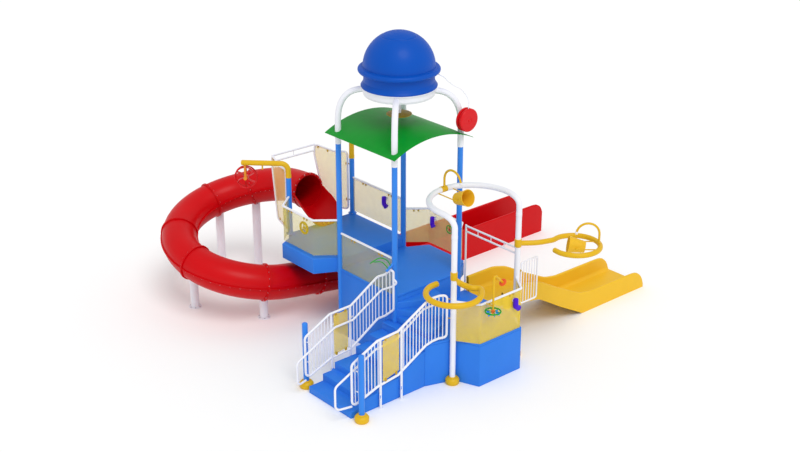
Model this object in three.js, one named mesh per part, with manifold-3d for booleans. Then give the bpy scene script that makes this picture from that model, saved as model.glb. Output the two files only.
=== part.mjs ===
// Water play structure: stairs, three decks, a tube slide, an open slide, a tipping dome and water toys.
// Millimetres, +Z up. The origin is on the ground under the front post of the roofed deck.
// +X runs along the stairs and both slide run-outs, +Y runs away from the low platform.
import * as THREE from 'three';
import { mergeVertices } from 'three/addons/utils/BufferGeometryUtils.js';
import Module from 'manifold-3d';

const wasm = await Module();
wasm.setup();

// Driving dimensions
const GAP = 0.3;
const BORE_GAP = GAP + 0.05;
const RUNNING = 0.3;
const AXLE_SIDES = 12;
const MODULE = 1830;
const POST_R = 60;
const LEG_R = 66;
const POST_TOP = 4520;
const FAR_POST_TOP = 3750;
const DECK_Z = 1606;
const FAR_Z = 1830;
const LOW_Z = 995;
const LANDING_Z = 480;
const EDGE = 30;
const PLATE = 60;
const LOW_PLATE = 50;
const FASCIA = 350;
const WALL = 36;
const BAY = { depth: 460, face: 1140, root: 1620, inset: 40 };
const GUARD_H = 915;
const SHEET = 12;
const DOME = { ringZ: 5650, ringH: 185, ringR: 762, ringWall: 110, waistR: 742, lipR: 806, seamZ: 6140 };
const CAP = { bandR: 863, bandH: 110, r: 760, top: 7000, wall: 30 };
const ROOF = { z: 4730, rise: 262, x0: -170, x1: 2010, y0: -200, y1: 2070 };
const STAIR = { y0: -1190, y1: 190, foot: -2180, going: [360, 320], landing: 570, topX: -200 };
const STAIR_POST = { x: -2070, near: -1395, far: 420, top: 1500 };
const CUP = { r: 148, h: 150 };
const HOOP = { x: 1250, y: -1030, r: 915, z: 3740, footX: 334, footY: -1456, tube: 62, bend: 220 };
const BUCKET = { mouthR: 178, baseR: 122, wall: 8, length: 360, pivot: 200, armR: 13, armSpan: 210, pinR: 8 };
const TUBE = { x: 950, y: 4780, loop: 1480, r: 400, wall: 22, endX: 2300, mouthY: 4200 };
const TUBE_Z = { mouth: 2460, loopTop: 2440, loopFoot: 900, end: 445 };
const RUN = { y: 3320, half: 455, x1: 7530, wallTop: 795, floor: 60 };
const SLIDE = { y: -475, half: 575, x0: 2190 + GAP, x1: 6940 };
const RAIL_R = 21;
const LEG_TUBE_R = 19;
const BAR_R = 10;
const PITCH = 110;
const POST_SIDES = 12;
const POLE_SIDES = 10;
const RAIL_SIDES = 6;

const BLUE = 0x1f66d6;
const WHITE = 0xeef1f6;
const YELLOW = 0xf2c318;
const RED = 0xc90d1c;
const GREEN = 0x12a02c;
const PURPLE = 0x4a12c4;
const PALE = 0xf0d98a;

// Vectors and outlines
const V = (x, y, z) => new THREE.Vector3(x, y, z);
const radians = THREE.MathUtils.degToRad;
const lerp = THREE.MathUtils.lerp;

function circleOutline(radius, sides) {
  const points = [];
  for (let i = 0; i < sides; i += 1) {
    const a = (i * 2 * Math.PI) / sides;
    points.push(new THREE.Vector2(radius * Math.cos(a), radius * Math.sin(a)));
  }
  return points;
}

// A route that is stepped exactly at its own points
class Route extends THREE.Curve {
  constructor(points) {
    super();
    this.points = points;
  }

  getPoint(t, target = new THREE.Vector3()) {
    const last = this.points.length - 1;
    const i = Math.min(Math.floor(t * last), last - 1);
    return target.lerpVectors(this.points[i], this.points[i + 1], t * last - i);
  }

  getPointAt(u, target) {
    return this.getPoint(u, target);
  }

  getTangentAt(u, target = new THREE.Vector3()) {
    const last = this.points.length - 1;
    const i = Math.round(u * last);
    const here = this.points[i];
    const back = this.points[Math.max(i - 1, 0)];
    const ahead = this.points[Math.min(i + 1, last)];
    const into = here.clone().sub(back).normalize();
    const out = ahead.clone().sub(here).normalize();
    return target.copy(into.add(out)).normalize();
  }
}

// Corner points become round bends of the given radius
function bends(corners, radius, steps = 3) {
  const points = [corners[0].clone()];
  for (let i = 1; i < corners.length - 1; i += 1) {
    const here = corners[i];
    const into = here.clone().sub(corners[i - 1]);
    const out = corners[i + 1].clone().sub(here);
    const angle = into.angleTo(out);
    if (angle < 0.25) {
      points.push(here.clone());
      continue;
    }
    const reach = Math.min(radius * Math.tan(angle / 2), into.length() * 0.49, out.length() * 0.49);
    const start = here.clone().addScaledVector(into.normalize(), -reach);
    const end = here.clone().addScaledVector(out.normalize(), reach);
    points.push(...new THREE.QuadraticBezierCurve3(start, here, end).getPoints(angle < 0.9 ? 1 : steps));
  }
  points.push(corners[corners.length - 1].clone());
  return points;
}

// A closed plan outline moved inwards by a distance, corner by corner
function inset(outline, distance) {
  const points = outline.map(([x, y]) => new THREE.Vector2(x, y));
  const way = Math.sign(THREE.ShapeUtils.area(points)) || 1;
  return points.map((here, i) => {
    const into = here.clone().sub(points.at(i - 1)).normalize();
    const out = points[(i + 1) % points.length].clone().sub(here).normalize();
    const side = new THREE.Vector2(-into.y - out.y, into.x + out.x).normalize();
    const stretch = distance / (side.x * -into.y + side.y * into.x);
    return [here.x + way * side.x * stretch, here.y + way * side.y * stretch];
  });
}

// The plan outline of an open line of points, as thick as given, with mitred corners
function strip(line, thickness) {
  const points = line.map(([x, y]) => new THREE.Vector2(x, y));
  const ways = points.slice(1).map((p, i) => p.clone().sub(points[i]).normalize());
  const edge = (sign) => points.map((here, i) => {
    const into = ways[Math.max(i - 1, 0)];
    const out = ways[Math.min(i, ways.length - 1)];
    const side = new THREE.Vector2(-into.y - out.y, into.x + out.x).normalize();
    const reach = (sign * thickness) / 2 / (side.x * -into.y + side.y * into.x);
    return [here.x + side.x * reach, here.y + side.y * reach];
  });
  return [...edge(1), ...edge(-1).reverse()];
}

// Solids: closed meshes to and from the boolean library
function solid(source) {
  const plain = source.clone();
  plain.deleteAttribute('normal');
  plain.deleteAttribute('uv');
  const merged = mergeVertices(plain, 1e-3);
  const vertProperties = new Float32Array(merged.attributes.position.array);
  const triVerts = new Uint32Array(merged.index.array);
  let six = 0;
  const a = new THREE.Vector3();
  const b = new THREE.Vector3();
  const c = new THREE.Vector3();
  for (let i = 0; i < triVerts.length; i += 3) {
    a.fromArray(vertProperties, triVerts[i] * 3);
    b.fromArray(vertProperties, triVerts[i + 1] * 3);
    c.fromArray(vertProperties, triVerts[i + 2] * 3);
    six += a.dot(b.cross(c));
  }
  if (six < 0) {
    for (let i = 0; i < triVerts.length; i += 3) {
      [triVerts[i], triVerts[i + 1]] = [triVerts[i + 1], triVerts[i]];
    }
  }
  return new wasm.Manifold(new wasm.Mesh({ numProp: 3, vertProperties, triVerts }));
}

function join(...parts) {
  return parts.reduce((sum, part) => sum.add(part));
}

function cut(body, ...tools) {
  return tools.reduce((rest, tool) => rest.subtract(tool), body);
}

// The largest body left after a cut
function mainBody(shape) {
  return shape.decompose().reduce((best, body) => (body.volume() > best.volume() ? body : best));
}

function box(x0, y0, z0, x1, y1, z1) {
  const shape = new THREE.BoxGeometry(x1 - x0, y1 - y0, z1 - z0);
  shape.translate((x0 + x1) / 2, (y0 + y1) / 2, (z0 + z1) / 2);
  return solid(shape);
}

// A plan outline raised from one height to another
function prism(outline, z0, z1) {
  const shape = new THREE.Shape(outline.map(([x, y]) => new THREE.Vector2(x, y)));
  const block = new THREE.ExtrudeGeometry(shape, { depth: z1 - z0, bevelEnabled: false });
  block.translate(0, 0, z0);
  return solid(block);
}

// A side outline in X and Z, as thick as y0 to y1
function side(outline, y0, y1) {
  const shape = new THREE.Shape(outline.map(([x, z]) => new THREE.Vector2(x, z)));
  const block = new THREE.ExtrudeGeometry(shape, { depth: y1 - y0, bevelEnabled: false });
  block.rotateX(Math.PI / 2);
  block.translate(0, y1, 0);
  return solid(block);
}

function cylinder(x, y, z0, z1, radius, sides = POST_SIDES) {
  const shape = new THREE.CylinderGeometry(radius, radius, z1 - z0, sides);
  shape.rotateX(Math.PI / 2);
  shape.translate(x, y, (z0 + z1) / 2);
  return solid(shape);
}

// A profile of [radius, height] pairs turned about Z
function turned(profile, segments) {
  const lathe = new THREE.LatheGeometry(profile.map(([r, z]) => new THREE.Vector2(r, z)), segments);
  lathe.rotateX(Math.PI / 2);
  return lathe;
}

function ringOf(radius, z, thick, segments = 16) {
  const profile = [[radius - thick, z - thick], [radius + thick, z - thick], [radius + thick, z + thick]];
  profile.push([radius - thick, z + thick], profile[0]);
  return solid(turned(profile, segments));
}

function tube(points, radius, sides = RAIL_SIDES) {
  const section = new THREE.Shape(circleOutline(radius, sides));
  const options = { steps: points.length - 1, bevelEnabled: false, extrudePath: new Route(points) };
  return solid(new THREE.ExtrudeGeometry(section, options));
}

function bar(from, to, radius, sides = RAIL_SIDES) {
  return tube([from, to], radius, sides);
}

// A tube round a closed loop of corners, its two ends lapped in the middle of the first stretch
function loopTube(corners, bend, radius, sides = RAIL_SIDES) {
  const along = corners[1].clone().sub(corners[0]);
  const start = corners[0].clone().addScaledVector(along, 0.5);
  const past = start.clone().addScaledVector(along.normalize(), 5);
  return tube(bends([start, ...corners.slice(1), corners[0], past], bend, 2), radius, sides);
}

function transformed(shape, matrix) {
  return shape.transform(matrix.elements);
}

function moved(shape, angle, x, y, z) {
  return transformed(shape, new THREE.Matrix4().makeRotationZ(angle).setPosition(x, y, z));
}

// Radius of a faceted hole that turns freely on a pin
function runningBore(pinR) {
  return (pinR + RUNNING) / Math.cos(Math.PI / AXLE_SIDES);
}

// Scene graph
const structure = new THREE.Group();

function place(name, shape, color) {
  const mesh = shape.getMesh();
  const geometry = new THREE.BufferGeometry();
  geometry.setAttribute('position', new THREE.BufferAttribute(new Float32Array(mesh.vertProperties), 3));
  geometry.setIndex(new THREE.BufferAttribute(new Uint32Array(mesh.triVerts), 1));
  geometry.computeVertexNormals();
  const material = new THREE.MeshStandardMaterial({ color, roughness: 0.3, metalness: 0 });
  const node = new THREE.Mesh(geometry, material);
  node.name = name;
  structure.add(node);
}

// Plan points shared by the pieces
const CORNERS = { front: [0, 0], right: [MODULE, 0], left: [0, MODULE], back: [MODULE, MODULE] };
const FAR_POST = [MODULE, 2 * MODULE];
const ARM_POST = [0, 2 * MODULE];
const NEAR_POLE = [HOOP.footX, HOOP.footY];
const SLIDE_POLE = [2 * HOOP.x - HOOP.footX, HOOP.footY];
const LOW_EDGE = 2190;
const HEADER_Y = 125;
const FRONT_Y = -1945;
const PLATFORM = [
  [STAIR.topX, STAIR.y0], [430, -1400], [645, FRONT_Y], [1856, FRONT_Y], [2070, -1400], [LOW_EDGE, -1330],
];

function postBore([x, y], radius = POST_R) {
  return cylinder(x, y, -10, 6000, radius + BORE_GAP);
}

function poleBore([x, y]) {
  return cylinder(x, y, -10, 3300, HOOP.tube + BORE_GAP, POLE_SIDES);
}

const mainBores = Object.values(CORNERS).map((at) => postBore(at));
const farBores = [CORNERS.left, CORNERS.back, FAR_POST, ARM_POST].map((at) => postBore(at));

// Posts, the small arched pipes on the front one, and the arm that holds the water wheel
const ARM = { z: 3530, reach: 1060, bend: 230, hangerAt: 980, wheelOff: 85, wheelZ: 3155 };
const HANGER = V(-ARM.hangerAt * Math.SQRT1_2, 2 * MODULE + ARM.hangerAt * Math.SQRT1_2, ARM.wheelZ);
const WHEEL_AXIS = V(Math.SQRT1_2, Math.SQRT1_2, 0);
const AXLE_R = 12;

function buildPosts() {
  for (const [name, [x, y]] of Object.entries(CORNERS)) {
    const post = cylinder(x, y, 0, POST_TOP, POST_R);
    place(`post_${name}`, name === 'front' ? join(post, ...archedPipes()) : post, BLUE);
  }
  place('post_far', cylinder(...FAR_POST, FAR_Z + GAP, FAR_POST_TOP, POST_R), BLUE);
  place('arm_post', armPost(), YELLOW);
}

function archedPipes() {
  const branch = bar(V(0, 0, 2390), V(-235, 0, 2246), 30, 8);
  const outer = [V(-110, 0, 2330), V(-190, 0, 2470), V(-320, 0, 2570), V(-460, 0, 2605), V(-670, 0, 2560)];
  const inner = [V(-185, 0, 2290), V(-260, 0, 2400), V(-370, 0, 2505), V(-560, 0, 2560)];
  return [branch, tube(outer, 11, 5), tube(inner, 11, 5)];
}

function armPost() {
  const [x, y] = ARM_POST;
  const out = ARM.reach * Math.SQRT1_2;
  const route = bends([V(x, y, FAR_Z + GAP), V(x, y, ARM.z), V(x - out, y + out, ARM.z)], ARM.bend, 5);
  const hanger = cylinder(HANGER.x, HANGER.y, HANGER.z - 45, ARM.z, 16, 8);
  const axleAt = (distance) => HANGER.clone().addScaledVector(WHEEL_AXIS, distance);
  const axle = bar(axleAt(-5), axleAt(ARM.wheelOff + 62), AXLE_R, AXLE_SIDES);
  const jetAt = (z) => V(x - out * 0.55, y + out * 0.55, z);
  const nozzle = bar(jetAt(ARM.z), jetAt(ARM.z - 150), 20, 8);
  return join(tube(route, POST_R, POST_SIDES), hanger, axle, nozzle);
}

// Decks
const DECK_X = [-EDGE, MODULE + EDGE];
const FAR_FRONT = MODULE - EDGE;

function bayOutline(x, y, way) {
  const reach = x + way * BAY.depth;
  const root = BAY.root / 2;
  const face = BAY.face / 2;
  return [[x, y - root], [reach, y - face], [reach, y + face], [x, y + root]];
}

function buildDecks() {
  const [x0, x1] = DECK_X;
  const under = DECK_Z - PLATE;
  const past = FAR_FRONT - GAP;
  const square = prism([[x0, -EDGE], [x1, -EDGE], [x1, past], [x0, past]], under, DECK_Z);
  const bay = prism(bayOutline(x1 + GAP, MODULE / 2, 1), DECK_Z - FASCIA, DECK_Z);
  const hollow = prism(inset(bayOutline(x1 + GAP, MODULE / 2, 1), WALL), DECK_Z - FASCIA - 1, under);
  const lap = box(x1 - 1, MODULE / 2 - 700, under, x1 + 1, MODULE / 2 + 700, DECK_Z);
  place('main_deck', cut(join(square, lap, cut(bay, hollow)), ...mainBores), BLUE);

  const farEnd = 2 * MODULE + EDGE;
  const farPlan = [[x0, FAR_FRONT], [x1, FAR_FRONT], [x1, farEnd], [x0, farEnd]];
  const leftPlan = bayOutline(x0 + 1, 1.5 * MODULE, -1);
  const tray = join(prism(farPlan, FAR_Z - FASCIA, FAR_Z), prism(leftPlan, FAR_Z - FASCIA, FAR_Z));
  const trayHollow = (plan) => prism(inset(plan, WALL), FAR_Z - FASCIA - 1, FAR_Z - PLATE);
  const hollows = [farPlan, leftPlan].map(trayHollow);
  place('far_deck', cut(tray, ...hollows, postBore(CORNERS.left), postBore(CORNERS.back)), BLUE);

  const inner = -EDGE - GAP;
  const outer = MODULE + EDGE + GAP;
  const lowPlan = [
    ...PLATFORM, [LOW_EDGE, HEADER_Y + EDGE], [outer, HEADER_Y + EDGE], [outer, 0], [inner, 0],
    [inner, STAIR.y1], [STAIR.topX, STAIR.y1],
  ];
  place('low_deck', cut(prism(lowPlan, LOW_Z - LOW_PLATE, LOW_Z), ...mainBores), BLUE);
}

// Skirts to the ground
function buildSkirts() {
  const top = DECK_Z - PLATE - GAP;
  const past = FAR_FRONT - GAP;
  place('left_skirt', cut(box(-EDGE, POST_R, 0, 0, past, top), ...mainBores), BLUE);
  place('right_skirt', cut(box(MODULE, 0, 0, MODULE + EDGE, past, top), ...mainBores), BLUE);
  place('riser_wall', cut(box(0, -EDGE, LOW_Z + GAP, MODULE, 0, top), ...mainBores), BLUE);
  const plan = [
    ...PLATFORM, [LOW_EDGE, HEADER_Y + EDGE], [MODULE, HEADER_Y + EDGE], [-EDGE, STAIR.y1],
    [STAIR.topX, STAIR.y1],
  ];
  const height = LOW_Z - LOW_PLATE - GAP;
  const ring = cut(prism(plan, 0, height), prism(inset(plan, WALL), -1, height + 1));
  const open = box(-EDGE - GAP, 0, -1, MODULE + EDGE + GAP, 300, height + 1);
  const cups = [NEAR_POLE, SLIDE_POLE].map(([x, y]) => cylinder(x, y, -1, CUP.h + 8, CUP.r + 6));
  place('platform_skirt', cut(ring, open, ...cups), BLUE);
}

// Stairs
function buildStairs() {
  const rise = LANDING_Z / 3;
  const [first, second] = STAIR.going;
  const x1 = STAIR.foot + first;
  const x2 = x1 + second;
  const x3 = x2 + STAIR.landing;
  const lower = [
    [STAIR.foot, 0], [x3, 0], [x3, LANDING_Z], [x2, LANDING_Z], [x2, 2 * rise], [x1, 2 * rise], [x1, rise],
    [STAIR.foot, rise],
  ];
  place('lower_flight', side(lower, STAIR.y0, STAIR.y1), BLUE);
  const upRise = (LOW_Z - LANDING_Z) / 3;
  const mid = (x3 + STAIR.topX) / 2;
  const end = STAIR.topX - GAP;
  const upper = [
    [x3 + GAP, 0], [end, 0], [end, LANDING_Z + 2 * upRise], [mid, LANDING_Z + 2 * upRise],
    [mid, LANDING_Z + upRise], [x3 + GAP, LANDING_Z + upRise],
  ];
  place('upper_flight', side(upper, STAIR.y0, STAIR.y1), BLUE);

  const winder = { r: 1070, count: 3, sector: 30, facets: 5 };
  const step = (DECK_Z - LOW_Z) / (winder.count + 1);
  const treads = [];
  for (let i = 0; i < winder.count; i += 1) {
    const from = -90 + winder.sector * i;
    const plan = [[0, 0]];
    for (let k = 0; k <= winder.facets; k += 1) {
      const a = radians(lerp(from, 0, k / winder.facets));
      plan.push([winder.r * Math.cos(a), winder.r * Math.sin(a)]);
    }
    treads.push(prism(plan, LOW_Z + GAP, LOW_Z + step * (i + 1)));
  }
  const behind = box(-100, -EDGE - GAP, 0, 3000, 100, 3000);
  place('winder_steps', cut(join(...treads), behind, postBore(CORNERS.front)), BLUE);
}

// Posts beside the stair foot, each in its cup
function cupProfile() {
  const { r, h } = CUP;
  return [[0, 0], [r - 12, 0], [r, 30], [r, h - 40], [r - 30, h]];
}

function buildStairPosts() {
  const { x, near, far, top } = STAIR_POST;
  const profile = [...cupProfile(), [POST_R, CUP.h], [POST_R, top - 40], [POST_R - 22, top - 10], [0, top]];
  for (const [name, y] of [['near', near], ['far', far]]) {
    const shape = turned(profile, POST_SIDES);
    shape.translate(x, y, 0);
    place(`stair_post_${name}`, solid(shape), BLUE);
  }
}

// A stair railing from rows of [x, y, low rail height, top rail height]
class Railing {
  constructor(rows) {
    this.rows = rows;
    this.marks = [0];
    for (let i = 1; i < rows.length; i += 1) {
      const [ax, ay] = rows[i - 1];
      const [bx, by] = rows[i];
      this.marks.push(this.marks[i - 1] + Math.hypot(bx - ax, by - ay));
    }
  }

  get length() {
    return this.marks[this.marks.length - 1];
  }

  // Plan place and both heights at a distance along the railing
  at(distance) {
    let i = 1;
    while (i < this.marks.length - 1 && this.marks[i] < distance) i += 1;
    const f = (distance - this.marks[i - 1]) / (this.marks[i] - this.marks[i - 1]);
    const [x, y, low, high] = this.rows[i].map((value, k) => lerp(this.rows[i - 1][k], value, f));
    return { low: V(x, y, low), high: V(x, y, high) };
  }

  solids(legs) {
    const low = this.rows.map(([x, y, z]) => V(x, y, z));
    const high = this.rows.map(([x, y, , z]) => V(x, y, z));
    const parts = [loopTube([...high, ...low.reverse()], 90, RAIL_R)];
    for (const leg of legs) {
      const { high: top } = this.at(leg);
      parts.push(bar(V(top.x, top.y, 0), top, LEG_TUBE_R));
    }
    const clear = PITCH / 2;
    for (let s = PITCH; s < this.length - clear; s += PITCH) {
      if (s < legs[0] - clear || s > legs[1] + clear) {
        const { low: foot, high: head } = this.at(s);
        parts.push(bar(foot, head, BAR_R, 4));
      }
    }
    const [a, b] = legs.map((leg) => this.at(leg));
    const sheet = [[a.low.x, a.low.z], [b.low.x, b.low.z], [b.high.x, b.high.z], [a.high.x, a.high.z]];
    parts.push(side(sheet, a.low.y - SHEET / 2, a.low.y + SHEET / 2));
    return parts;
  }
}

function stairRail({ rows, legs, grab, wallY, posts, ties, holders }) {
  const railing = new Railing(rows);
  const parts = railing.solids(legs);
  parts.push(tube(bends(grab, 90, 2), RAIL_R - 3));
  const y = rows[0][1];
  for (const leg of legs) {
    const { high } = railing.at(leg);
    parts.push(bar(V(high.x, y, high.z - 210), V(high.x, grab[2].y, high.z - 210), BAR_R, 4));
    parts.push(box(high.x - 15, Math.min(y, wallY), 250, high.x + 15, Math.max(y, wallY), 290));
  }
  for (const [from, to] of ties) {
    parts.push(bar(from, to, 12, 4));
  }
  for (const [x, postY] of posts) {
    for (const z of [620, 1080]) {
      parts.push(bar(V(x, y, z), V(x, postY, z), 14, 4));
    }
  }
  return cut(join(...parts), ...holders);
}

function buildStairRails() {
  const near = STAIR.y0 - 50;
  const [poleX, poleY] = NEAR_POLE;
  const endY = near - 110;
  const grabY = near + 70;
  place('near_railing', stairRail({
    rows: [
      [-2190, near, 300, 1260], [-1530, near, 520, 1560], [-980, near, 590, 1590], [-235, near, 1000, 1990],
      [-50, near, 1040, 2030], [110, near - 25, 1060, 2040], [250, endY, 1075, 2040],
    ],
    legs: [740, 1300],
    grab: [
      V(-2190, near, 320), V(-2560, grabY, 330), V(-2560, grabY, 850), V(-1500, grabY, 1340),
      V(-950, grabY, 1380), V(-240, grabY, 1810), V(-20, grabY, 1820), V(60, near, 1850),
    ],
    wallY: STAIR.y0 - GAP,
    posts: [[STAIR_POST.x, STAIR_POST.near]],
    ties: [1520, 1960].map((z) => [V(250, endY, z), V(poleX, poleY, z)]),
    holders: [poleBore(NEAR_POLE), postBore([STAIR_POST.x, STAIR_POST.near])],
  }), WHITE);
  const far = STAIR.y1 + 80;
  const farGrab = far - 70;
  place('far_railing', stairRail({
    rows: [
      [-2190, far, 300, 1260], [-1540, far, 545, 1580], [-980, far, 590, 1590], [-250, far, 1040, 2030],
      [-170, 110, 1150, 2120], [-95, -70, 1330, 2320],
    ],
    legs: [690, 1190],
    grab: [
      V(-2190, far, 270), V(-2460, farGrab, 260), V(-2460, farGrab, 790), V(-1460, farGrab, 1275),
      V(-980, farGrab, 1285), V(-200, farGrab, 1730), V(-112, -30, 1860), V(-50, -140, 1970),
      V(-95, -70, 2050),
    ],
    wallY: STAIR.y1 + GAP,
    posts: [[STAIR_POST.x, STAIR_POST.far]],
    ties: [1480, 2190].map((z) => [V(-95, -70, z), V(0, 0, z)]),
    holders: [postBore(CORNERS.front), postBore([STAIR_POST.x, STAIR_POST.far])],
  }), WHITE);
}

// Guards: a top rail over a standing sheet
function guard(points, sheetZ, topZ, holders, extras = []) {
  const rail = tube(points.map(([x, y]) => V(x, y, topZ)), RAIL_R);
  const sheet = prism(strip(points, SHEET), sheetZ, topZ);
  return cut(join(rail, sheet, ...extras), ...holders);
}

const BAY_X = { right: MODULE + EDGE + BAY.depth - BAY.inset, left: -EDGE - BAY.depth + BAY.inset };
const VALVE = { y: 730, z: 2250, r: 92, axleR: 9, off: 50 };
const SEAT = 8;
const RIM = 24;
const GUARD_Y = FRONT_Y + RIM;
const LOW_GUARD_Z = 1900;
const FRONT_GUARD = [
  [NEAR_POLE[0] + RIM, NEAR_POLE[1]], [645 + RIM, GUARD_Y], [1856 - RIM, GUARD_Y],
  [SLIDE_POLE[0] - RIM, SLIDE_POLE[1]],
];

function bayPoints(cornerX, faceX, y) {
  const half = BAY.face / 2 - BAY.inset / 2;
  return [[cornerX, y + MODULE / 2], [faceX, y + half], [faceX, y - half], [cornerX, y - MODULE / 2]];
}

function buildGuards() {
  const lift = 85;
  const right = bayPoints(MODULE, BAY_X.right, MODULE / 2);
  const axleAt = (x) => V(BAY_X.right + x, VALVE.y, VALVE.z);
  const axle = bar(axleAt(2), axleAt(-VALVE.off - 22), VALVE.axleR, AXLE_SIDES);
  place('right_bay_guard', guard(right, DECK_Z + lift, DECK_Z + GUARD_H, mainBores, [axle]), PALE);

  const left = bayPoints(0, BAY_X.left, 1.5 * MODULE);
  const ring = ringOf(140, 0, 12, 12);
  const upright = new THREE.Matrix4().makeRotationY(Math.PI / 2);
  upright.setPosition(BAY_X.left - 70, 2480, FAR_Z + 650);
  const spokes = [
    box(BAY_X.left - 82, 2468, FAR_Z + 510, BAY_X.left - 58, 2492, FAR_Z + 790),
    box(BAY_X.left - 70, 2468, FAR_Z + 638, BAY_X.left, 2492, FAR_Z + 662),
  ];
  const wheel = join(transformed(ring, upright), ...spokes);
  place('left_bay_guard', guard(left, FAR_Z + lift, FAR_Z + GUARD_H, farBores, [wheel]), PALE);

  place('left_guard', guard([[0, 0], [0, MODULE]], DECK_Z + SEAT, 2450, mainBores), PALE);

  const sideLine = [[MODULE, MODULE], [MODULE, 2 * MODULE]];
  place('far_side_guard', guard(sideLine, FAR_Z + lift, FAR_Z + GUARD_H, farBores), PALE);

  const poles = [poleBore(NEAR_POLE), poleBore(SLIDE_POLE)];
  place('platform_guard', guard(FRONT_GUARD, LOW_Z + GAP, LOW_GUARD_Z, poles), PALE);
}

// Roof sheet
function buildRoof() {
  const { x0, x1, y0, y1, z, rise } = ROOF;
  const steps = 10;
  const half = (x1 - x0) / 2;
  const radius = (half * half + rise * rise) / (2 * rise);
  const arch = [];
  for (let i = 0; i <= steps; i += 1) {
    const x = lerp(x0, x1, i / steps);
    arch.push([x, z + Math.sqrt(radius * radius - (x - x0 - half) ** 2) - (radius - rise)]);
  }
  const upper = arch.map(([x, h]) => [x, h + SHEET]).reverse();
  const holes = Object.values(CORNERS).map((at) => postBore(at, LEG_R));
  place('roof_sheet', cut(side([...arch, ...upper], y0, y1), ...holes), GREEN);
}

// Dome, its ring and legs, the spray disc and the bell
const MIDDLE = MODULE / 2;
const DOME_SEGMENTS = 20;

function aboutMiddle(profile, segments = DOME_SEGMENTS) {
  const shape = turned(profile, segments);
  shape.translate(MIDDLE, MIDDLE, 0);
  return solid(shape);
}

function buildDome() {
  const { ringZ, ringH, ringR, ringWall, waistR, lipR, seamZ } = DOME;
  const ringTop = ringZ + ringH;
  const inner = ringR - ringWall;
  const section = [
    [inner, ringZ], [ringR, ringZ], [ringR, ringTop - 25], [lipR - 8, ringTop - 12], [lipR - 8, ringTop],
    [inner, ringTop], [inner, ringZ],
  ];
  const parts = [aboutMiddle(section)];
  const leg = { z: ringZ + ringH / 2, curve: 750 };
  for (const [x, y] of Object.values(CORNERS)) {
    const way = V(MIDDLE - x, MIDDLE - y, 0).normalize();
    const end = V(x, y, leg.z).addScaledVector(way, Math.hypot(MIDDLE, MIDDLE) - ringR + 40);
    const turn = new THREE.QuadraticBezierCurve3(V(x, y, leg.z - leg.curve), V(x, y, leg.z), end);
    parts.push(tube([V(x, y, POST_TOP + GAP), ...turn.getPoints(6)], LEG_R, POST_SIDES));
  }
  place('dome_frame', join(...parts), WHITE);

  const base = ringTop + GAP;
  const { bandR, bandH, r, top, wall } = CAP;
  place('dome_bowl', aboutMiddle([
    [0, base], [lipR - 20, base], [lipR, base + 20], [lipR - 25, base + 55], [waistR + 10, base + 110],
    [waistR, base + 150], [waistR, seamZ], [waistR - wall, seamZ], [waistR - wall, base + wall],
    [0, base + wall],
  ]), BLUE);

  const foot = seamZ + GAP;
  const shell = [[waistR - wall, foot], [bandR - 50, foot], [bandR - 12, foot + bandH * 0.25]];
  shell.push([bandR, foot + bandH * 0.5], [bandR - 12, foot + bandH * 0.75], [bandR - 50, foot + bandH]);
  const arc = (radius, degrees) => {
    const a = radians(degrees);
    return [radius * Math.cos(a), top - r + radius * Math.sin(a)];
  };
  for (const degrees of [1, 17, 33, 48, 63, 77, 90]) {
    shell.push(arc(r, degrees));
  }
  for (const degrees of [90, 62, 30]) {
    shell.push(arc(r - wall, degrees));
  }
  shell.push([waistR - wall, foot + bandH], shell[0]);
  place('dome_cap', aboutMiddle(shell), BLUE);

  const disc = { z: 5205, t: 30, r: 270, pipe: 42 };
  place('spray_disc', aboutMiddle([
    [0, disc.z], [disc.r, disc.z], [disc.r, disc.z + 12], [disc.pipe, disc.z + disc.t], [disc.pipe, ringTop],
    [0, ringTop],
  ], 16), YELLOW);
}

const BELL = { x: MODULE, z: 5160, r: 250, pipeR: 10 };

function buildBell() {
  const { x, z, r } = BELL;
  const shape = turned([
    [0, 0], [70, 0], [70, 24], [r - 25, 30], [r, 45], [r, 75], [r - 50, 90], [r - 50, 120], [r, 135],
    [r, 180], [r - 20, 198], [0, 204],
  ], 20);
  shape.rotateX(Math.PI / 2);
  shape.translate(x, -LEG_R - GAP, z);
  place('bell', solid(shape), RED);

  const out = V(1, -1, 0).normalize();
  const flat = DOME.waistR * Math.cos(Math.PI / DOME_SEGMENTS);
  const start = V(MIDDLE, MIDDLE, 6110).addScaledVector(out, flat + GAP);
  const discY = -LEG_R - 158;
  const feed = [
    start.clone().addScaledVector(out, 30), V(1577, 253, 6025), V(1629, 201, 5950), V(1723, 107, 5850),
    V(1810, 40, 5795), V(1870, -10, 5725), V(1900, -95, 5630), V(1890, -170, 5530), V(x, discY, z + r + 50),
  ];
  const route = [start, ...new THREE.CatmullRomCurve3(feed).getSpacedPoints(14), V(x, discY, z + r + GAP)];
  place('bell_pipe', tube(route, BELL.pipeR), WHITE);
}

// Hoop over the low platform
function hoopRoute() {
  const { x, y, r, z, footX, footY, bend } = HOOP;
  const rise = new THREE.QuadraticBezierCurve3(V(footX, footY, z - bend), V(footX, footY, z), V(footX, y, z));
  const mirror = (p) => V(2 * x - p.x, p.y, p.z);
  const climb = [V(footX, footY, 0), ...rise.getPoints(5)];
  const arc = [];
  for (let degrees = 165; degrees > 0; degrees -= 15) {
    arc.push(V(x + r * Math.cos(radians(degrees)), y + r * Math.sin(radians(degrees)), z));
  }
  return [...climb, ...arc, ...climb.map(mirror).reverse()];
}

function buildHoop() {
  const cups = [NEAR_POLE, SLIDE_POLE].map(([x, y]) => {
    const shape = turned([...cupProfile(), [0, CUP.h]], POST_SIDES);
    shape.translate(x, y, 0);
    return solid(shape);
  });
  place('hoop', join(tube(hoopRoute(), HOOP.tube, POLE_SIDES), ...cups), WHITE);
}

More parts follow.
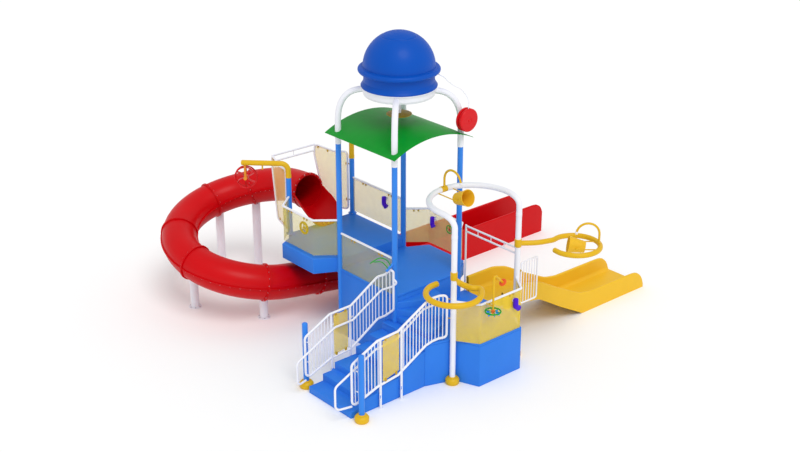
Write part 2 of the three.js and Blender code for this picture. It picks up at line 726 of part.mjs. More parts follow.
// Tipping buckets in their forks
const FORK = { x: HOOP.x, pivotY: -720, z: 3715, hoopY: HOOP.y + HOOP.r };
const RING = { x: 3040, y: -2280, z: 2650, r: 520, tube: 56, angle: radians(-42.6) };

// Two arms with pivot pins, along local -X from the pivot to the tube
function forkArms(reach) {
  const { armSpan, armR, mouthR, baseR, length, pivot, pinR } = BUCKET;
  const wallR = lerp(baseR, mouthR, (pivot + pinR) / length);
  const parts = [bar(V(-reach, -armSpan, 0), V(-reach, armSpan, 0), armR)];
  for (const s of [-1, 1]) {
    parts.push(bar(V(-reach, s * armSpan, 0), V(20, s * armSpan, 0), armR));
    parts.push(bar(V(0, s * armSpan, 0), V(0, s * (wallR + BORE_GAP), 0), pinR));
  }
  return parts;
}

// The bent pipe that feeds a bucket from above
function feedArch(reach) {
  const lift = 300;
  const bow = reach / 2 - 15;
  const points = [V(-reach + 30, 0, 0)];
  for (let degrees = 180; degrees >= 0; degrees -= 30) {
    points.push(V(-bow + bow * Math.cos(radians(degrees)), 0, lift + bow * Math.sin(radians(degrees))));
  }
  return tube(points, 16);
}

function bucketShape(tilt) {
  const { mouthR, baseR, wall, length, pivot } = BUCKET;
  const profile = [
    [0, 0], [baseR, 0], [mouthR, length], [mouthR - wall, length], [baseR - wall, wall], [0, wall],
  ];
  const shape = turned(profile, 16);
  shape.translate(0, 0, -pivot);
  shape.rotateY(Math.PI / 2 - tilt);
  return solid(shape);
}

function buildBuckets() {
  const { x, pivotY, z, hoopY } = FORK;
  const reach = hoopY - pivotY;
  const arc = [75, 90, 105].map((degrees) => {
    const a = radians(degrees);
    return V(HOOP.x + HOOP.r * Math.cos(a), HOOP.y + HOOP.r * Math.sin(a), HOOP.z);
  });
  const sleeve = tube(arc, HOOP.tube + 12, POLE_SIDES);
  const core = tube(hoopRoute(), HOOP.tube + BORE_GAP, POLE_SIDES);
  const arms = moved(join(...forkArms(reach), feedArch(reach)), -Math.PI / 2, x, pivotY, z);
  place('hoop_fork', cut(join(sleeve, arms), core), YELLOW);
  place('hoop_bucket', moved(bucketShape(radians(19)), -Math.PI / 2, x, pivotY, z), YELLOW);
}

// Half-open rings on the hoop's poles
function buildRings() {
  const { x, y, z, r, tube: ringR, angle } = RING;
  const [poleX, poleY] = SLIDE_POLE;
  const lead = [
    V(poleX, poleY, z + 40), V(poleX + 130, poleY - 20, z), V(poleX + 380, poleY - 200, z),
    V(poleX + 620, poleY - 290, z),
  ];
  const route = new THREE.CatmullRomCurve3(lead).getPoints(6);
  for (let degrees = 105; degrees >= -195; degrees -= 20) {
    route.push(V(x + r * Math.cos(radians(degrees)), y + r * Math.sin(radians(degrees)), z));
  }
  const band = cylinder(poleX, poleY, z - 50, z + 130, HOOP.tube + 20, POLE_SIDES);
  const arms = moved(join(...forkArms(r), feedArch(r)), angle + Math.PI, x, y, z);
  place('ring_right', cut(join(tube(route, ringR, 8), band, arms), poleBore(SLIDE_POLE)), YELLOW);
  place('ring_bucket', moved(bucketShape(radians(10)), angle + Math.PI, x, y, z), YELLOW);

  const [nearX, nearY] = NEAR_POLE;
  const left = { r: 570, z: 2088, band: [2400, 2580], tube: 57 };
  const fall = [
    V(nearX, nearY, 2520), V(nearX, nearY, 2470), V(nearX + 30, nearY - 5, 2390),
    V(nearX + 130, nearY - 15, 2300), V(nearX + 270, nearY - 45, 2200), V(nearX + 410, nearY - 95, 2120),
  ];
  for (let degrees = -24; degrees >= -277; degrees -= 23) {
    const a = radians(degrees);
    const settle = Math.min(1, (-24 - degrees) / 60);
    const height = lerp(left.z + 30, left.z, settle);
    fall.push(V(nearX + left.r * Math.cos(a), nearY + left.r * Math.sin(a), height));
  }
  const clamp = cylinder(nearX, nearY, ...left.band, HOOP.tube + 20, POLE_SIDES);
  place('ring_left', cut(join(tube(fall, left.tube, 8), clamp), poleBore(NEAR_POLE)), YELLOW);
}

// Tube slide: a nearly level mouth, three quarters of a loop that falls fastest, and a straight end
const TUBE_SIDES = 16;
const TUBE_JOINTS = [140.5, 252];

function loopPoint(degrees, radius = TUBE.loop) {
  const a = radians(degrees);
  const z = lerp(TUBE_Z.loopTop, TUBE_Z.loopFoot, degrees / 270);
  return V(TUBE.x - TUBE.loop + radius * Math.cos(a), TUBE.y + radius * Math.sin(a), z);
}

function tubeRoute() {
  const points = [V(TUBE.x, TUBE.mouthY, TUBE_Z.mouth)];
  for (let degrees = 0; degrees <= 270; degrees += 18) {
    points.push(loopPoint(degrees));
  }
  points.push(V(TUBE.endX, TUBE.y - TUBE.loop, TUBE_Z.end));
  return points;
}

// What the tube takes up, with a clear gap round it and past its lower end
function tubeEnvelope() {
  const route = tubeRoute();
  const end = route[route.length - 1];
  const way = end.clone().sub(route[route.length - 2]).normalize();
  return tube([...route, end.clone().addScaledVector(way, BORE_GAP)], TUBE.r + BORE_GAP, TUBE_SIDES);
}

// A skin through closed rings of points
function loft(rings) {
  const count = rings[0].length;
  const positions = rings.flat().flatMap((p) => [p.x, p.y, p.z]);
  const index = [];
  for (let i = 0; i < rings.length - 1; i += 1) {
    for (let k = 0; k < count; k += 1) {
      const a = i * count + k;
      const b = i * count + ((k + 1) % count);
      index.push(a, b, a + count, b, b + count, a + count);
    }
  }
  const flat = rings[0].map((p) => new THREE.Vector2(p.x, p.z));
  const clockwise = THREE.ShapeUtils.isClockWise(flat);
  const last = (rings.length - 1) * count;
  for (const [a, b, c] of THREE.ShapeUtils.triangulateShape(flat, [])) {
    const [q, r] = clockwise ? [c, b] : [b, c];
    index.push(a, r, q, last + a, last + q, last + r);
  }
  const shape = new THREE.BufferGeometry();
  shape.setAttribute('position', new THREE.Float32BufferAttribute(positions, 3));
  shape.setIndex(index);
  return solid(shape);
}

// A thin upright slab across the loop, where two lengths of tube meet
function tubeJoint(degrees) {
  const reach = 2 * TUBE.r;
  const at = loopPoint(degrees);
  return moved(box(-reach, -GAP / 2, -reach, reach, GAP / 2, reach), radians(degrees), at.x, at.y, at.z);
}

function buildTube() {
  const { r, wall, x, mouthY } = TUBE;
  const section = new THREE.Shape(circleOutline(r, TUBE_SIDES));
  section.holes.push(new THREE.Path(circleOutline(r - wall, TUBE_SIDES)));
  const route = tubeRoute();
  const options = { steps: route.length - 1, bevelEnabled: false, extrudePath: new Route(route) };
  const whole = solid(new THREE.ExtrudeGeometry(section, options));
  const lengths = cut(whole, ...TUBE_JOINTS.map(tubeJoint)).decompose();
  const topOf = (length) => length.boundingBox().max[2];
  lengths.sort((a, b) => topOf(b) - topOf(a));
  for (const [i, name] of ['upper', 'middle', 'lower'].entries()) {
    place(`tube_slide_${name}`, lengths[i], RED);
  }

  const { mouth: z } = TUBE_Z;
  const fall = (z - TUBE_Z.loopTop) / (TUBE.y - mouthY);
  const arcs = [
    { y: mouthY - BORE_GAP, r: r + 18, z, span: 92, lean: fall },
    { y: mouthY - 160, r: r + 40, z, span: 80, lean: fall },
    { y: mouthY - 430, r: r + 115, z, span: 62, lean: 0 },
    { y: mouthY - 730, r: r + 165, z: FAR_Z + GAP + r + 165, span: 44, lean: 0 },
  ];
  place('tube_entry', loft(arcs.map((arc) => {
    const facets = 8;
    const at = (radius, i) => {
      const a = radians(-90 - arc.span + (2 * arc.span * i) / facets);
      const rise = radius * Math.sin(a);
      return V(x + radius * Math.cos(a), arc.y + rise * arc.lean, arc.z + rise);
    };
    const steps = Array.from({ length: facets + 1 }, (_, i) => i);
    return [...steps.map((i) => at(arc.r, i)), ...steps.reverse().map((i) => at(arc.r - wall, i))];
  })), RED);

  const columnR = 100;
  const envelope = tubeEnvelope();
  const columns = [[43, TUBE.loop], [78, TUBE.loop], [166, 1273], [254, 1230]];
  for (const [i, [degrees, out]] of columns.entries()) {
    const at = loopPoint(degrees, out);
    const above = box(at.x - 200, at.y - 200, at.z - 60, at.x + 200, at.y + 200, 5000);
    place(`column_${i + 1}`, cut(cylinder(at.x, at.y, 0, at.z, columnR), envelope, above), WHITE);
  }

  const { y, half, x1, wallTop, floor } = RUN;
  const x0 = TUBE.endX - 130;
  const outline = [
    [x0, 0], [x1, 0], [x1, 560], [x1 - 60, 700], [x1 - 190, 780], [x1 - 330, wallTop], [x0, wallTop],
  ];
  const near = side(outline, y - half, y - half + WALL);
  const far = side(outline, y + half - WALL, y + half);
  place('run_out', cut(join(near, far, box(x0, y - half, 0, x1, y + half, floor)), envelope), RED);
}

// Open slide
function buildSlide() {
  const { y, half, x0, x1 } = SLIDE;
  const bed = [
    [x0, 965], [2950, 950], [3370, 840], [3700, 660], [4030, 480], [4420, 280], [4700, 150], [5070, 78],
    [x1, 70],
  ];
  const floor = side([...bed, ...bed.slice().reverse().map(([x, z]) => [x, z - 40])], y - half, y + half);
  const rim = [
    [x0, 1345], [2980, 1340], [3370, 1230], [3700, 1050], [4000, 880], [4420, 670], [4700, 530], [5070, 462],
    [6560, 450], [6720, 420], [6870, 290], [x1, 90],
  ];
  const under = [
    [x1, 0], [4780, 0], [4680, 70], [4030, 420], [3530, 720], [3300, 850], [2950, 905], [x0, 920],
  ];
  const walls = [y - half, y + half - WALL].map((from) => side([...rim, ...under], from, from + WALL));
  place('open_slide', join(floor, ...walls), YELLOW);
}

// Guards beside the tube's mouth, each in one upright plane, and the header between them
const ENTRY = { y0: 3720, y1: 4650, left: [0, 268], right: [MODULE, 1458], top: 3390, sag: 60 };

function entryPlane(name) {
  const [x0, x1] = ENTRY[name];
  const run = Math.hypot(x1 - x0, ENTRY.y1 - ENTRY.y0);
  return (u, z) => V(lerp(x0, x1, u / run), lerp(ENTRY.y0, ENTRY.y1, u / run), z);
}

// Outline in the guard's own plane: distance from the post and height
function entryOutline() {
  const { top, sag } = ENTRY;
  return [[70, 1900], [70, top - 40], [420, top - sag - 30], [950, top], [965, 3120], [690, 1915]];
}

function entryLoop(name, extra = 0) {
  const at = entryPlane(name);
  return loopTube(entryOutline().map(([u, z]) => at(u, z)), 70, RAIL_R + extra);
}

function buildEntryGuards() {
  for (const [name, holder] of [['left', ARM_POST], ['right', FAR_POST]]) {
    const at = entryPlane(name);
    const corners = inset(entryOutline(), 12).map(([u, z]) => at(u, z));
    const across = at(1, 0).sub(at(0, 0)).applyAxisAngle(V(0, 0, 1), Math.PI / 2).multiplyScalar(SHEET / 2);
    const front = corners.map((p) => p.clone().add(across));
    const rear = corners.map((p) => p.clone().sub(across));
    const clips = [2150, 3050].map((z) => bar(at(-60, z), at(70, z), 14, 4));
    const shape = join(entryLoop(name), loft([rear, front]), ...clips);
    place(`entry_guard_${name}`, cut(shape, postBore(holder)), PALE);
  }
  const left = entryPlane('left');
  const right = entryPlane('right');
  const levels = [[950, ENTRY.top - 10], [962, ENTRY.top - 160]];
  const bars = levels.map(([u, z]) => bar(left(u, z), right(u, z), RAIL_R - 2));
  const middle = levels.map(([u, z]) => left(u, z).lerp(right(u, z), 0.5));
  const header = join(...bars, bar(...middle, BAR_R, 4));
  const loops = ['left', 'right'].map((name) => entryLoop(name, BORE_GAP));
  place('entry_header', mainBody(cut(header, ...loops)), WHITE);
}

// Header and side panel of the open slide
function panel(x0, x1, y, z0, z1, bars) {
  const hoop = [V(x0, y, z0), V(x0, y, z1), V(x1, y, z1), V(x1, y, z0)];
  const parts = [tube(bends(hoop, 50, 2), RAIL_R - 3), bar(V(x0, y, z0 + 25), V(x1, y, z0 + 25), RAIL_R - 5)];
  for (let k = 1; k <= bars; k += 1) {
    const x = lerp(x0, x1, k / (bars + 1));
    parts.push(bar(V(x, y, z0 + 25), V(x, y, z1), BAR_R, 4));
  }
  return parts;
}

function buildSlideGuards() {
  const [x, poleY] = SLIDE_POLE;
  const parts = [
    bar(V(x, poleY, 2560), V(x, HEADER_Y, 2560), RAIL_R),
    bar(V(x, poleY, 2430), V(x, HEADER_Y, 2430), RAIL_R),
    bar(V(x, HEADER_Y, LOW_Z + GAP), V(x, HEADER_Y, 2590), RAIL_R, 8),
    bar(V(x, -650, 2430), V(x, -650, 2560), BAR_R, 4),
  ];
  place('slide_header', cut(join(...parts), poleBore(SLIDE_POLE)), WHITE);
  const sidePanel = panel(x + 130, x + 620, poleY, 1220, 2195, 5);
  const clips = [1420, 2010].map((z) => box(x, poleY - 7, z - 12, x + 135, poleY + 7, z + 12));
  place('slide_panel', cut(join(...sidePanel, ...clips), poleBore(SLIDE_POLE)), WHITE);
}

// Water toys
const SPINNER = { x: 800, y: -2135, z: 1790, r: 160, pipeR: 16, hubH: 28 };

function buildWaterWheel() {
  const parts = [cylinder(0, 0, -55, 55, 40), ringOf(245, -45, 11), ringOf(245, 45, 11)];
  for (let degrees = 0; degrees < 360; degrees += 60) {
    parts.push(moved(box(30, -4, -48, 240, 4, 48), radians(degrees), 0, 0, 0));
  }
  const wheel = cut(join(...parts), cylinder(0, 0, -80, 80, runningBore(AXLE_R), AXLE_SIDES));
  const turn = new THREE.Quaternion().setFromUnitVectors(V(0, 0, 1), WHEEL_AXIS);
  const centre = HANGER.clone().addScaledVector(WHEEL_AXIS, ARM.wheelOff);
  place('water_wheel', transformed(wheel, new THREE.Matrix4().compose(centre, turn, V(1, 1, 1))), RED);
}

function buildSpinner() {
  const { x, y, z, r, pipeR, hubH } = SPINNER;
  const foot = z - hubH - GAP;
  const parts = [
    tube(bends([V(x, y, foot - 24), V(x, y, 2620), V(x + 255, y, 2365)], 40, 2), pipeR, AXLE_SIDES),
    cylinder(x, y, foot - 24, foot, 26, 8),
    box(x - 12, y, 1888, x + 12, GUARD_Y, 1912),
  ];
  const disc = new THREE.Matrix4().makeRotationY(radians(135)).setPosition(x + 255, y, 2365);
  parts.push(transformed(cylinder(0, 0, -8, 8, 85), disc));
  const rail = tube(FRONT_GUARD.map(([railX, railY]) => V(railX, railY, LOW_GUARD_Z)), RAIL_R + BORE_GAP);
  const sheet = box(645, GUARD_Y - SHEET / 2 - GAP, LOW_Z, 1856, GUARD_Y + 50, LOW_GUARD_Z);
  place('spinner_pipe', cut(join(...parts), rail, sheet), YELLOW);

  const wheel = [ringOf(r, 0, 12), cylinder(0, 0, -hubH, hubH, 40, 8)];
  for (let degrees = 0; degrees < 360; degrees += 60) {
    const paddle = join(box(30, -14, -8, r, 14, 4), box(70, -2, -75, 140, 2, 0));
    wheel.push(moved(paddle, radians(degrees), 0, 0, 0));
  }
  const hole = cylinder(0, 0, -50, 50, runningBore(pipeR), AXLE_SIDES);
  place('spinner_wheel', moved(cut(join(...wheel), hole), 0, x, y, z), GREEN);
}

function buildHandWheel() {
  const { y, z, r, axleR, off } = VALVE;
  const spokes = [box(-r, -8, -6, r, 8, 6), box(-8, -r, -6, 8, r, 6)];
  const wheel = join(ringOf(r, 0, 10, 12), ...spokes, cylinder(0, 0, -14, 14, 24, 8));
  const hole = cylinder(0, 0, -30, 30, runningBore(axleR), AXLE_SIDES);
  const turn = new THREE.Matrix4().makeRotationY(Math.PI / 2).setPosition(BAY_X.right - off, y, z);
  place('hand_wheel', transformed(cut(wheel, hole), turn), GREEN);
}

// Fat bent spouts: a body that hangs down and turns to its mouth, and a stub to the guard's sheet
const SPOUTS = {
  platform_spout: { at: [1600, GUARD_Y - 75, 1650], mouth: [90, 0, -130], wall: [0, 75], r: 52 },
  bay_spout: { at: [BAY_X.right - 100, 1240, 2290], mouth: [0, -40, -120], wall: [100, 0], r: 44 },
  far_spout: { at: [MODULE - 90, 2400, 2540], mouth: [0, -80, -110], wall: [90, 0], r: 46 },
};

function buildSpouts() {
  for (const [name, { at, mouth, wall, r }] of Object.entries(SPOUTS)) {
    const past = (x, y, z) => V(...at).add(V(x, y, z));
    const body = tube(bends([past(0, 0, 120), past(0, 0, -70), past(...mouth)], 70, 2), r, 8);
    const reach = V(...wall, 0);
    const end = reach.setLength(reach.length() - SHEET / 2 - GAP).add(past(0, 0, 60));
    place(name, join(body, bar(past(0, 0, 60), end, 16)), PURPLE);
  }
}

buildPosts();
buildDecks();
buildSkirts();
buildStairs();
buildStairPosts();
buildStairRails();
buildGuards();
buildRoof();
buildDome();
buildBell();
buildHoop();
buildBuckets();
buildRings();
buildTube();
buildSlide();
buildEntryGuards();
buildSlideGuards();
buildWaterWheel();
buildSpinner();
buildHandWheel();
buildSpouts();

export default structure;
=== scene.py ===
"""Looks of a water play structure: stairs, decks, slides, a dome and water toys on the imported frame."""

import functools
import logging
import math
from collections.abc import Iterable, Sequence
from dataclasses import dataclass
from enum import Enum

import bmesh
import bpy
from mathutils import Euler, Matrix, Vector, geometry

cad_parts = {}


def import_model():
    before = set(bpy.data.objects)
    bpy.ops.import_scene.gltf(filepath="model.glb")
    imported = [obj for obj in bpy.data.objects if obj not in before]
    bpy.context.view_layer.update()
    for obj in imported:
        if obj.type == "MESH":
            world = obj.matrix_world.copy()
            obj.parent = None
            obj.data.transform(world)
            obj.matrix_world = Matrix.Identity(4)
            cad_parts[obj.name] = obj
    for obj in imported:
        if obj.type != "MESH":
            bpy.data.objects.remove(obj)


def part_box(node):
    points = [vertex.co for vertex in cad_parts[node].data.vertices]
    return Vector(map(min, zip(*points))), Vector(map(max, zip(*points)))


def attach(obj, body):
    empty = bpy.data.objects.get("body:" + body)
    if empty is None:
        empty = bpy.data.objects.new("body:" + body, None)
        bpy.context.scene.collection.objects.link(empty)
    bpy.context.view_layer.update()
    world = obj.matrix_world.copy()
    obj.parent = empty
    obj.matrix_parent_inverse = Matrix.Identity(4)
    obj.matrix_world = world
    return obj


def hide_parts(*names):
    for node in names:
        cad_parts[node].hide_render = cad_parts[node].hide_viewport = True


log = logging.getLogger("water_play")

CREASE = math.radians(35)
WELD = 1e-5
TUBE_SIDES = 48
# The gap between parts that stand against each other, and the one round an axle.
SEAT = 0.0003
RUNNING = 0.001
# The foot plate of a post on a deck, and the sleeve over its joint.
PLATE_R, PLATE_H = 0.1, 0.01
SLEEVE_H = 0.07
UP = Vector((0.0, 0.0, 1.0))
ROOT = "root"

Colour = tuple[float, float, float, float]
Pair = tuple[float, float]


def pigment(red: int, green: int, blue: int) -> Colour:
    """Turns screen values into a shader's linear colour.

    Args:
        red, green, blue: Screen values from 0 to 255.

    Returns:
        The linear colour, opaque.
    """
    shares = [value / 255 for value in (red, green, blue)]
    linear = [s / 12.92 if s <= 0.04045 else ((s + 0.055) / 1.055) ** 2.4 for s in shares]
    return (*linear, 1.0)


def toned(colour: Colour, factor: float) -> Colour:
    """Returns a colour made lighter or darker by a factor."""
    return (*(min(1.0, part * factor) for part in colour[:3]), 1.0)


class Signal:
    """A shader value that is worked on with ordinary arithmetic."""

    def __init__(self, shader: "Shader", socket: bpy.types.NodeSocket) -> None:
        """Wraps an output socket of the shader's tree."""
        self.shader = shader
        self.socket = socket

    def __add__(self, other: "Signal | float") -> "Signal":
        """Adds a value."""
        return self.shader.maths("ADD", self, other)

    def __radd__(self, other: float) -> "Signal":
        """Adds to a number."""
        return self.shader.maths("ADD", other, self)

    def __sub__(self, other: "Signal | float") -> "Signal":
        """Takes a value away."""
        return self.shader.maths("SUBTRACT", self, other)

    def __rsub__(self, other: float) -> "Signal":
        """Is taken away from a number."""
        return self.shader.maths("SUBTRACT", other, self)

    def __mul__(self, other: "Signal | float") -> "Signal":
        """Multiplies by a value."""
        return self.shader.maths("MULTIPLY", self, other)

    def __rmul__(self, other: float) -> "Signal":
        """Multiplies a number."""
        return self.shader.maths("MULTIPLY", other, self)

    def eased(self, low: float, high: float) -> "Signal":
        """Goes smoothly from 0 at low to 1 at high.

        Args:
            low, high: The values between which it rises.

        Returns:
            The eased value.
        """
        settings = {"interpolation_type": "SMOOTHSTEP"}
        values = {"Value": self, "From Min": low, "From Max": high}
        made = self.shader.node("ShaderNodeMapRange", settings, values)
        return Signal(self.shader, made.outputs["Result"])


class Shader:
    """The node tree of one finish, around its principled surface."""

    def __init__(self, title: str) -> None:
        """Starts a material with that title."""
        self.material = bpy.data.materials.new(title)
        self.material.use_nodes = True
        self.tree = self.material.node_tree
        self.surface = self.tree.nodes["Principled BSDF"]

    def node(self, kind: str, settings: dict, inputs: dict) -> bpy.types.Node:
        """Adds a node.

        Args:
            kind: The node's type.
            settings: Its own settings, set before its sockets.
            inputs: Values or links of its input sockets, by name or number.

        Returns:
            The node.
        """
        made = self.tree.nodes.new(kind)
        for key, value in settings.items():
            setattr(made, key, value)
        for key, value in inputs.items():
            self.feed(made.inputs[key], value)
        return made

    def feed(self, socket: bpy.types.NodeSocket, value: "Signal | float | Sequence[float]") -> None:
        """Links a signal to a socket, or sets a plain value on it.

        Args:
            socket: The input socket.
            value: The signal or the plain value.
        """
        if isinstance(value, Signal):
            self.tree.links.new(value.socket, socket)
        else:
            socket.default_value = value

    def set(self, **values: "Signal | float | Colour") -> None:
        """Feeds sockets of the surface, whose names have spaces in place of underscores."""
        for key, value in values.items():
            self.feed(self.surface.inputs[key.replace("_", " ")], value)

    def maths(self, operation: str, first: "Signal | float", second: "Signal | float") -> Signal:
        """Works out one arithmetic step on values."""
        made = self.node("ShaderNodeMath", {"operation": operation}, {0: first, 1: second})
        return Signal(self, made.outputs["Value"])

    @functools.cached_property
    def place(self) -> Signal:
        """The point on the object, in metres."""
        return Signal(self, self.node("ShaderNodeTexCoord", {}, {}).outputs["Object"])

    def stretched(self, scale: Sequence[float]) -> Signal:
        """Returns the point with each direction scaled."""
        made = self.node("ShaderNodeMapping", {}, {"Vector": self.place, "Scale": scale})
        return Signal(self, made.outputs["Vector"])

    def noise(self, scale: float, detail: float = 2.0, where: Signal | None = None) -> Signal:
        """Returns cloudy noise, given its lumps to a metre, its octaves and the point to read."""
        inputs = {"Vector": where or self.place, "Scale": scale, "Detail": detail}
        return Signal(self, self.node("ShaderNodeTexNoise", {}, inputs).outputs["Fac"])

    def cells(self, scale: float) -> Signal:
        """Returns the distance to the nearest of many scattered points."""
        made = self.node("ShaderNodeTexVoronoi", {}, {"Vector": self.place, "Scale": scale})
        return Signal(self, made.outputs["Distance"])

    def facing_up(self) -> Signal:
        """Returns 1 on level faces that look up, and 0 on upright ones."""
        normal = Signal(self, self.node("ShaderNodeNewGeometry", {}, {}).outputs["Normal"])
        parts = self.node("ShaderNodeSeparateXYZ", {}, {"Vector": normal})
        return Signal(self, parts.outputs["Z"]).eased(0.7, 0.95)

    def mixed(self, mask: Signal, low: Colour, high: "Colour | Signal") -> Signal:
        """Mixes two colours by a mask.

        Args:
            mask: 0 for the first colour and 1 for the second.
            low: The first colour.
            high: The second colour.

        Returns:
            The mixed colour.
        """
        made = self.node("ShaderNodeMix", {"data_type": "RGBA"}, {0: mask})
        self.feed(made.inputs[6], low)
        self.feed(made.inputs[7], high)
        return Signal(self, made.outputs[2])

    def bump(self, height: Signal, strength: float, distance: float) -> None:
        """Raises the surface by a height signal, given the strength and the metres that 1 stands for."""
        inputs = {"Height": height, "Strength": strength, "Distance": distance}
        normal = self.node("ShaderNodeBump", {}, inputs)
        self.set(Normal=Signal(self, normal.outputs["Normal"]))


class Finish:
    """A surface finish, which makes its material once."""

    slot: str

    def dress(self, shader: Shader) -> None:
        """Sets the shader up."""
        raise NotImplementedError


@functools.cache
def material_of(finish: Finish) -> bpy.types.Material:
    """Returns the one material of a finish."""
    shader = Shader(f"{finish.slot}_{type(finish).__name__.lower()}")
    finish.dress(shader)
    return shader.material


def placed(name: str, data: bpy.types.ID) -> bpy.types.Object:
    """Puts an object with that data into the scene."""
    thing = bpy.data.objects.new(name, data)
    bpy.context.scene.collection.objects.link(thing)
    return thing


@dataclass(frozen=True)
class GelCoat(Finish):
    """Satin pigmented resin on glass fibre: slow waves, fine peel, and grip on treads where it has any."""

    slot: str
    colour: Colour
    roughness: float = 0.42
    coat: float = 0.05
    grip: float = 0.0

    def dress(self, shader: Shader) -> None:
        """Sets up the resin's colour drift, gloss and waves."""
        drift = shader.noise(1.7, 3.0)
        bloom = shader.noise(11.0, 4.0)
        shader.set(
            Base_Color=shader.mixed(drift, toned(self.colour, 0.93), toned(self.colour, 1.06)),
            Roughness=self.roughness + 0.1 * (bloom - 0.5),
            Coat_Weight=self.coat,
            Coat_Roughness=0.2,
            Specular_IOR_Level=0.14,
        )
        peel = 0.6 * shader.noise(9.0, 2.0) + 0.12 * shader.noise(150.0, 2.0)
        if self.grip:
            dots = 1.0 - shader.cells(70.0).eased(0.1, 0.42)
            peel = peel + self.grip * (dots * shader.facing_up())
        shader.bump(peel, 0.35, 0.004)


@dataclass(frozen=True)
class PowderCoat(Finish):
    """Baked powder paint on steel: an even satin with a very fine grain."""

    slot: str
    colour: Colour
    roughness: float = 0.4

    def dress(self, shader: Shader) -> None:
        """Sets up the paint's grain and its slightly uneven satin."""
        drift = shader.noise(2.3, 2.0)
        grain = shader.noise(420.0, 3.0)
        shader.set(
            Base_Color=shader.mixed(drift, toned(self.colour, 0.96), toned(self.colour, 1.03)),
            Roughness=self.roughness + 0.12 * (shader.noise(14.0, 3.0) - 0.5),
            Coat_Weight=0.05,
            Coat_Roughness=0.25,
            Specular_IOR_Level=0.25,
        )
        shader.bump(grain, 0.18, 0.0006)


@dataclass(frozen=True)
class ClearSheet(Finish):
    """Tinted see-through sheet, faintly clouded in patches."""

    slot: str
    colour: Colour
    clear: float = 0.45
    roughness: float = 0.3

    def dress(self, shader: Shader) -> None:
        """Sets up the tint, what shows through, and the faint clouds."""
        clouds = shader.noise(5.0, 4.0)
        shader.set(
            Base_Color=shader.mixed(clouds, toned(self.colour, 0.95), toned(self.colour, 1.04)),
            Roughness=self.roughness + 0.14 * clouds,
            Alpha=1.0 - self.clear + 0.1 * (clouds - 0.5),
            Specular_IOR_Level=0.15,
        )
        shader.bump(shader.noise(6.0, 1.0), 0.15, 0.004)


@dataclass(frozen=True)
class Steel(Finish):
    """Plain stainless fasteners, faintly brushed."""

    slot: str
    colour: Colour
    roughness: float = 0.34

    def dress(self, shader: Shader) -> None:
        """Sets up the brushed metal."""
        brushed = shader.noise(300.0, 2.0, shader.stretched((1.0, 1.0, 0.15)))
        shader.set(
            Base_Color=self.colour,
            Metallic=1.0,
            Roughness=self.roughness + 0.15 * (brushed - 0.5),
        )
        shader.bump(brushed, 0.1, 0.0004)


DECK_BLUE = GelCoat("blue_shell", pigment(48, 126, 228), roughness=0.5, grip=0.5)
DOME_BLUE = GelCoat("blue_shell", pigment(0, 80, 184), roughness=0.46)
POST_BLUE = PowderCoat("blue_tube", pigment(50, 134, 234))
WHITE = PowderCoat("white_tube", pigment(240, 241, 248))
PIPE_YELLOW = PowderCoat("yellow_tube", pigment(226, 180, 20))
# Darker olive copy of the yellow powder coat: painted shade for the clips and the disc, which sit in shade.
CLIP_PAINTED_SHADE = PowderCoat("yellow_tube", pigment(196, 158, 30), roughness=0.45)
SLIDE_YELLOW = GelCoat("yellow_shell", pigment(236, 188, 44))
TUBE_RED = GelCoat("red_shell", pigment(204, 0, 10), roughness=0.4, coat=0.06)
WHEEL_RED = PowderCoat("red_shell", pigment(214, 8, 20), roughness=0.42)
TIP_ORANGE = PowderCoat("red_shell", pigment(236, 96, 40), roughness=0.4)
HANGER_AMBER = PowderCoat("yellow_tube", pigment(234, 150, 40), roughness=0.4)
ROOF_GREEN = ClearSheet("green_roof", pigment(0, 150, 40), clear=0.05, roughness=0.36)
GUARD_YELLOW = ClearSheet("yellow_sheet", pigment(255, 222, 66), clear=0.5)
# Paler and clearer copy of the yellow sheet: painted light, standing for the glow of sheets lit from behind.
SHEET_PAINTED_BACKLIGHT = ClearSheet("yellow_sheet", pigment(255, 234, 156), clear=0.6)
# Darker olive copy of the yellow sheet: painted shade for the sheets on the shaded left side.
SHEET_PAINTED_SHADE = ClearSheet("yellow_sheet", pigment(216, 204, 50), clear=0.72)
TOY_GREEN = PowderCoat("green_plastic", pigment(10, 160, 34), roughness=0.36)
TOY_PURPLE = GelCoat("purple_plastic", pigment(76, 14, 206), roughness=0.36, coat=0.1)
FASTENER = Steel("white_tube", pigment(196, 198, 204))


class End(Enum):
    """How a pipe stops."""

    OPEN = "open"
    FLAT = "flat"
    ROUND = "round"


def spot(*pair: float) -> Vector:
    """Returns a point of a profile, given its radius and height."""
    return Vector((pair[0], 0.0, pair[1]))


def spots(*pairs: Pair) -> list[Vector]:
    """Returns the points of a profile, given their radii and heights."""
    return [spot(*pair) for pair in pairs]


def rounded(corners: Sequence[Vector], radius: float, steps: int = 8, closed: bool = False) -> list[Vector]:
    """Turns the corners of a line into arcs.

    Args:
        corners: The line's corners.
        radius: The arcs' radius, less where a stretch is too short for it.
        steps: Steps in each arc.
        closed: Whether the last corner joins the first.

    Returns:
        The points of the rounded line.
    """
    count = len(corners)
    route: list[Vector] = [] if closed else [corners[0].copy()]
    for i in range(count) if closed else range(1, count - 1):
        here = corners[i]
        into = here - corners[i - 1]
        out = corners[(i + 1) % count] - here
        angle = into.angle(out)
        if angle < 0.01:
            route.append(here.copy())
            continue
        reach = min(radius * math.tan(angle / 2), into.length * 0.49, out.length * 0.49)
        start = here - into.normalized() * reach
        axis = into.cross(out).normalized()
        centre = start + axis.cross(into).normalized() * (reach / math.tan(angle / 2))
        for k in range(steps + 1):
            route.append(centre + Matrix.Rotation(angle * k / steps, 3, axis) @ (start - centre))
    if not closed:
        route.append(corners[-1].copy())
    return route


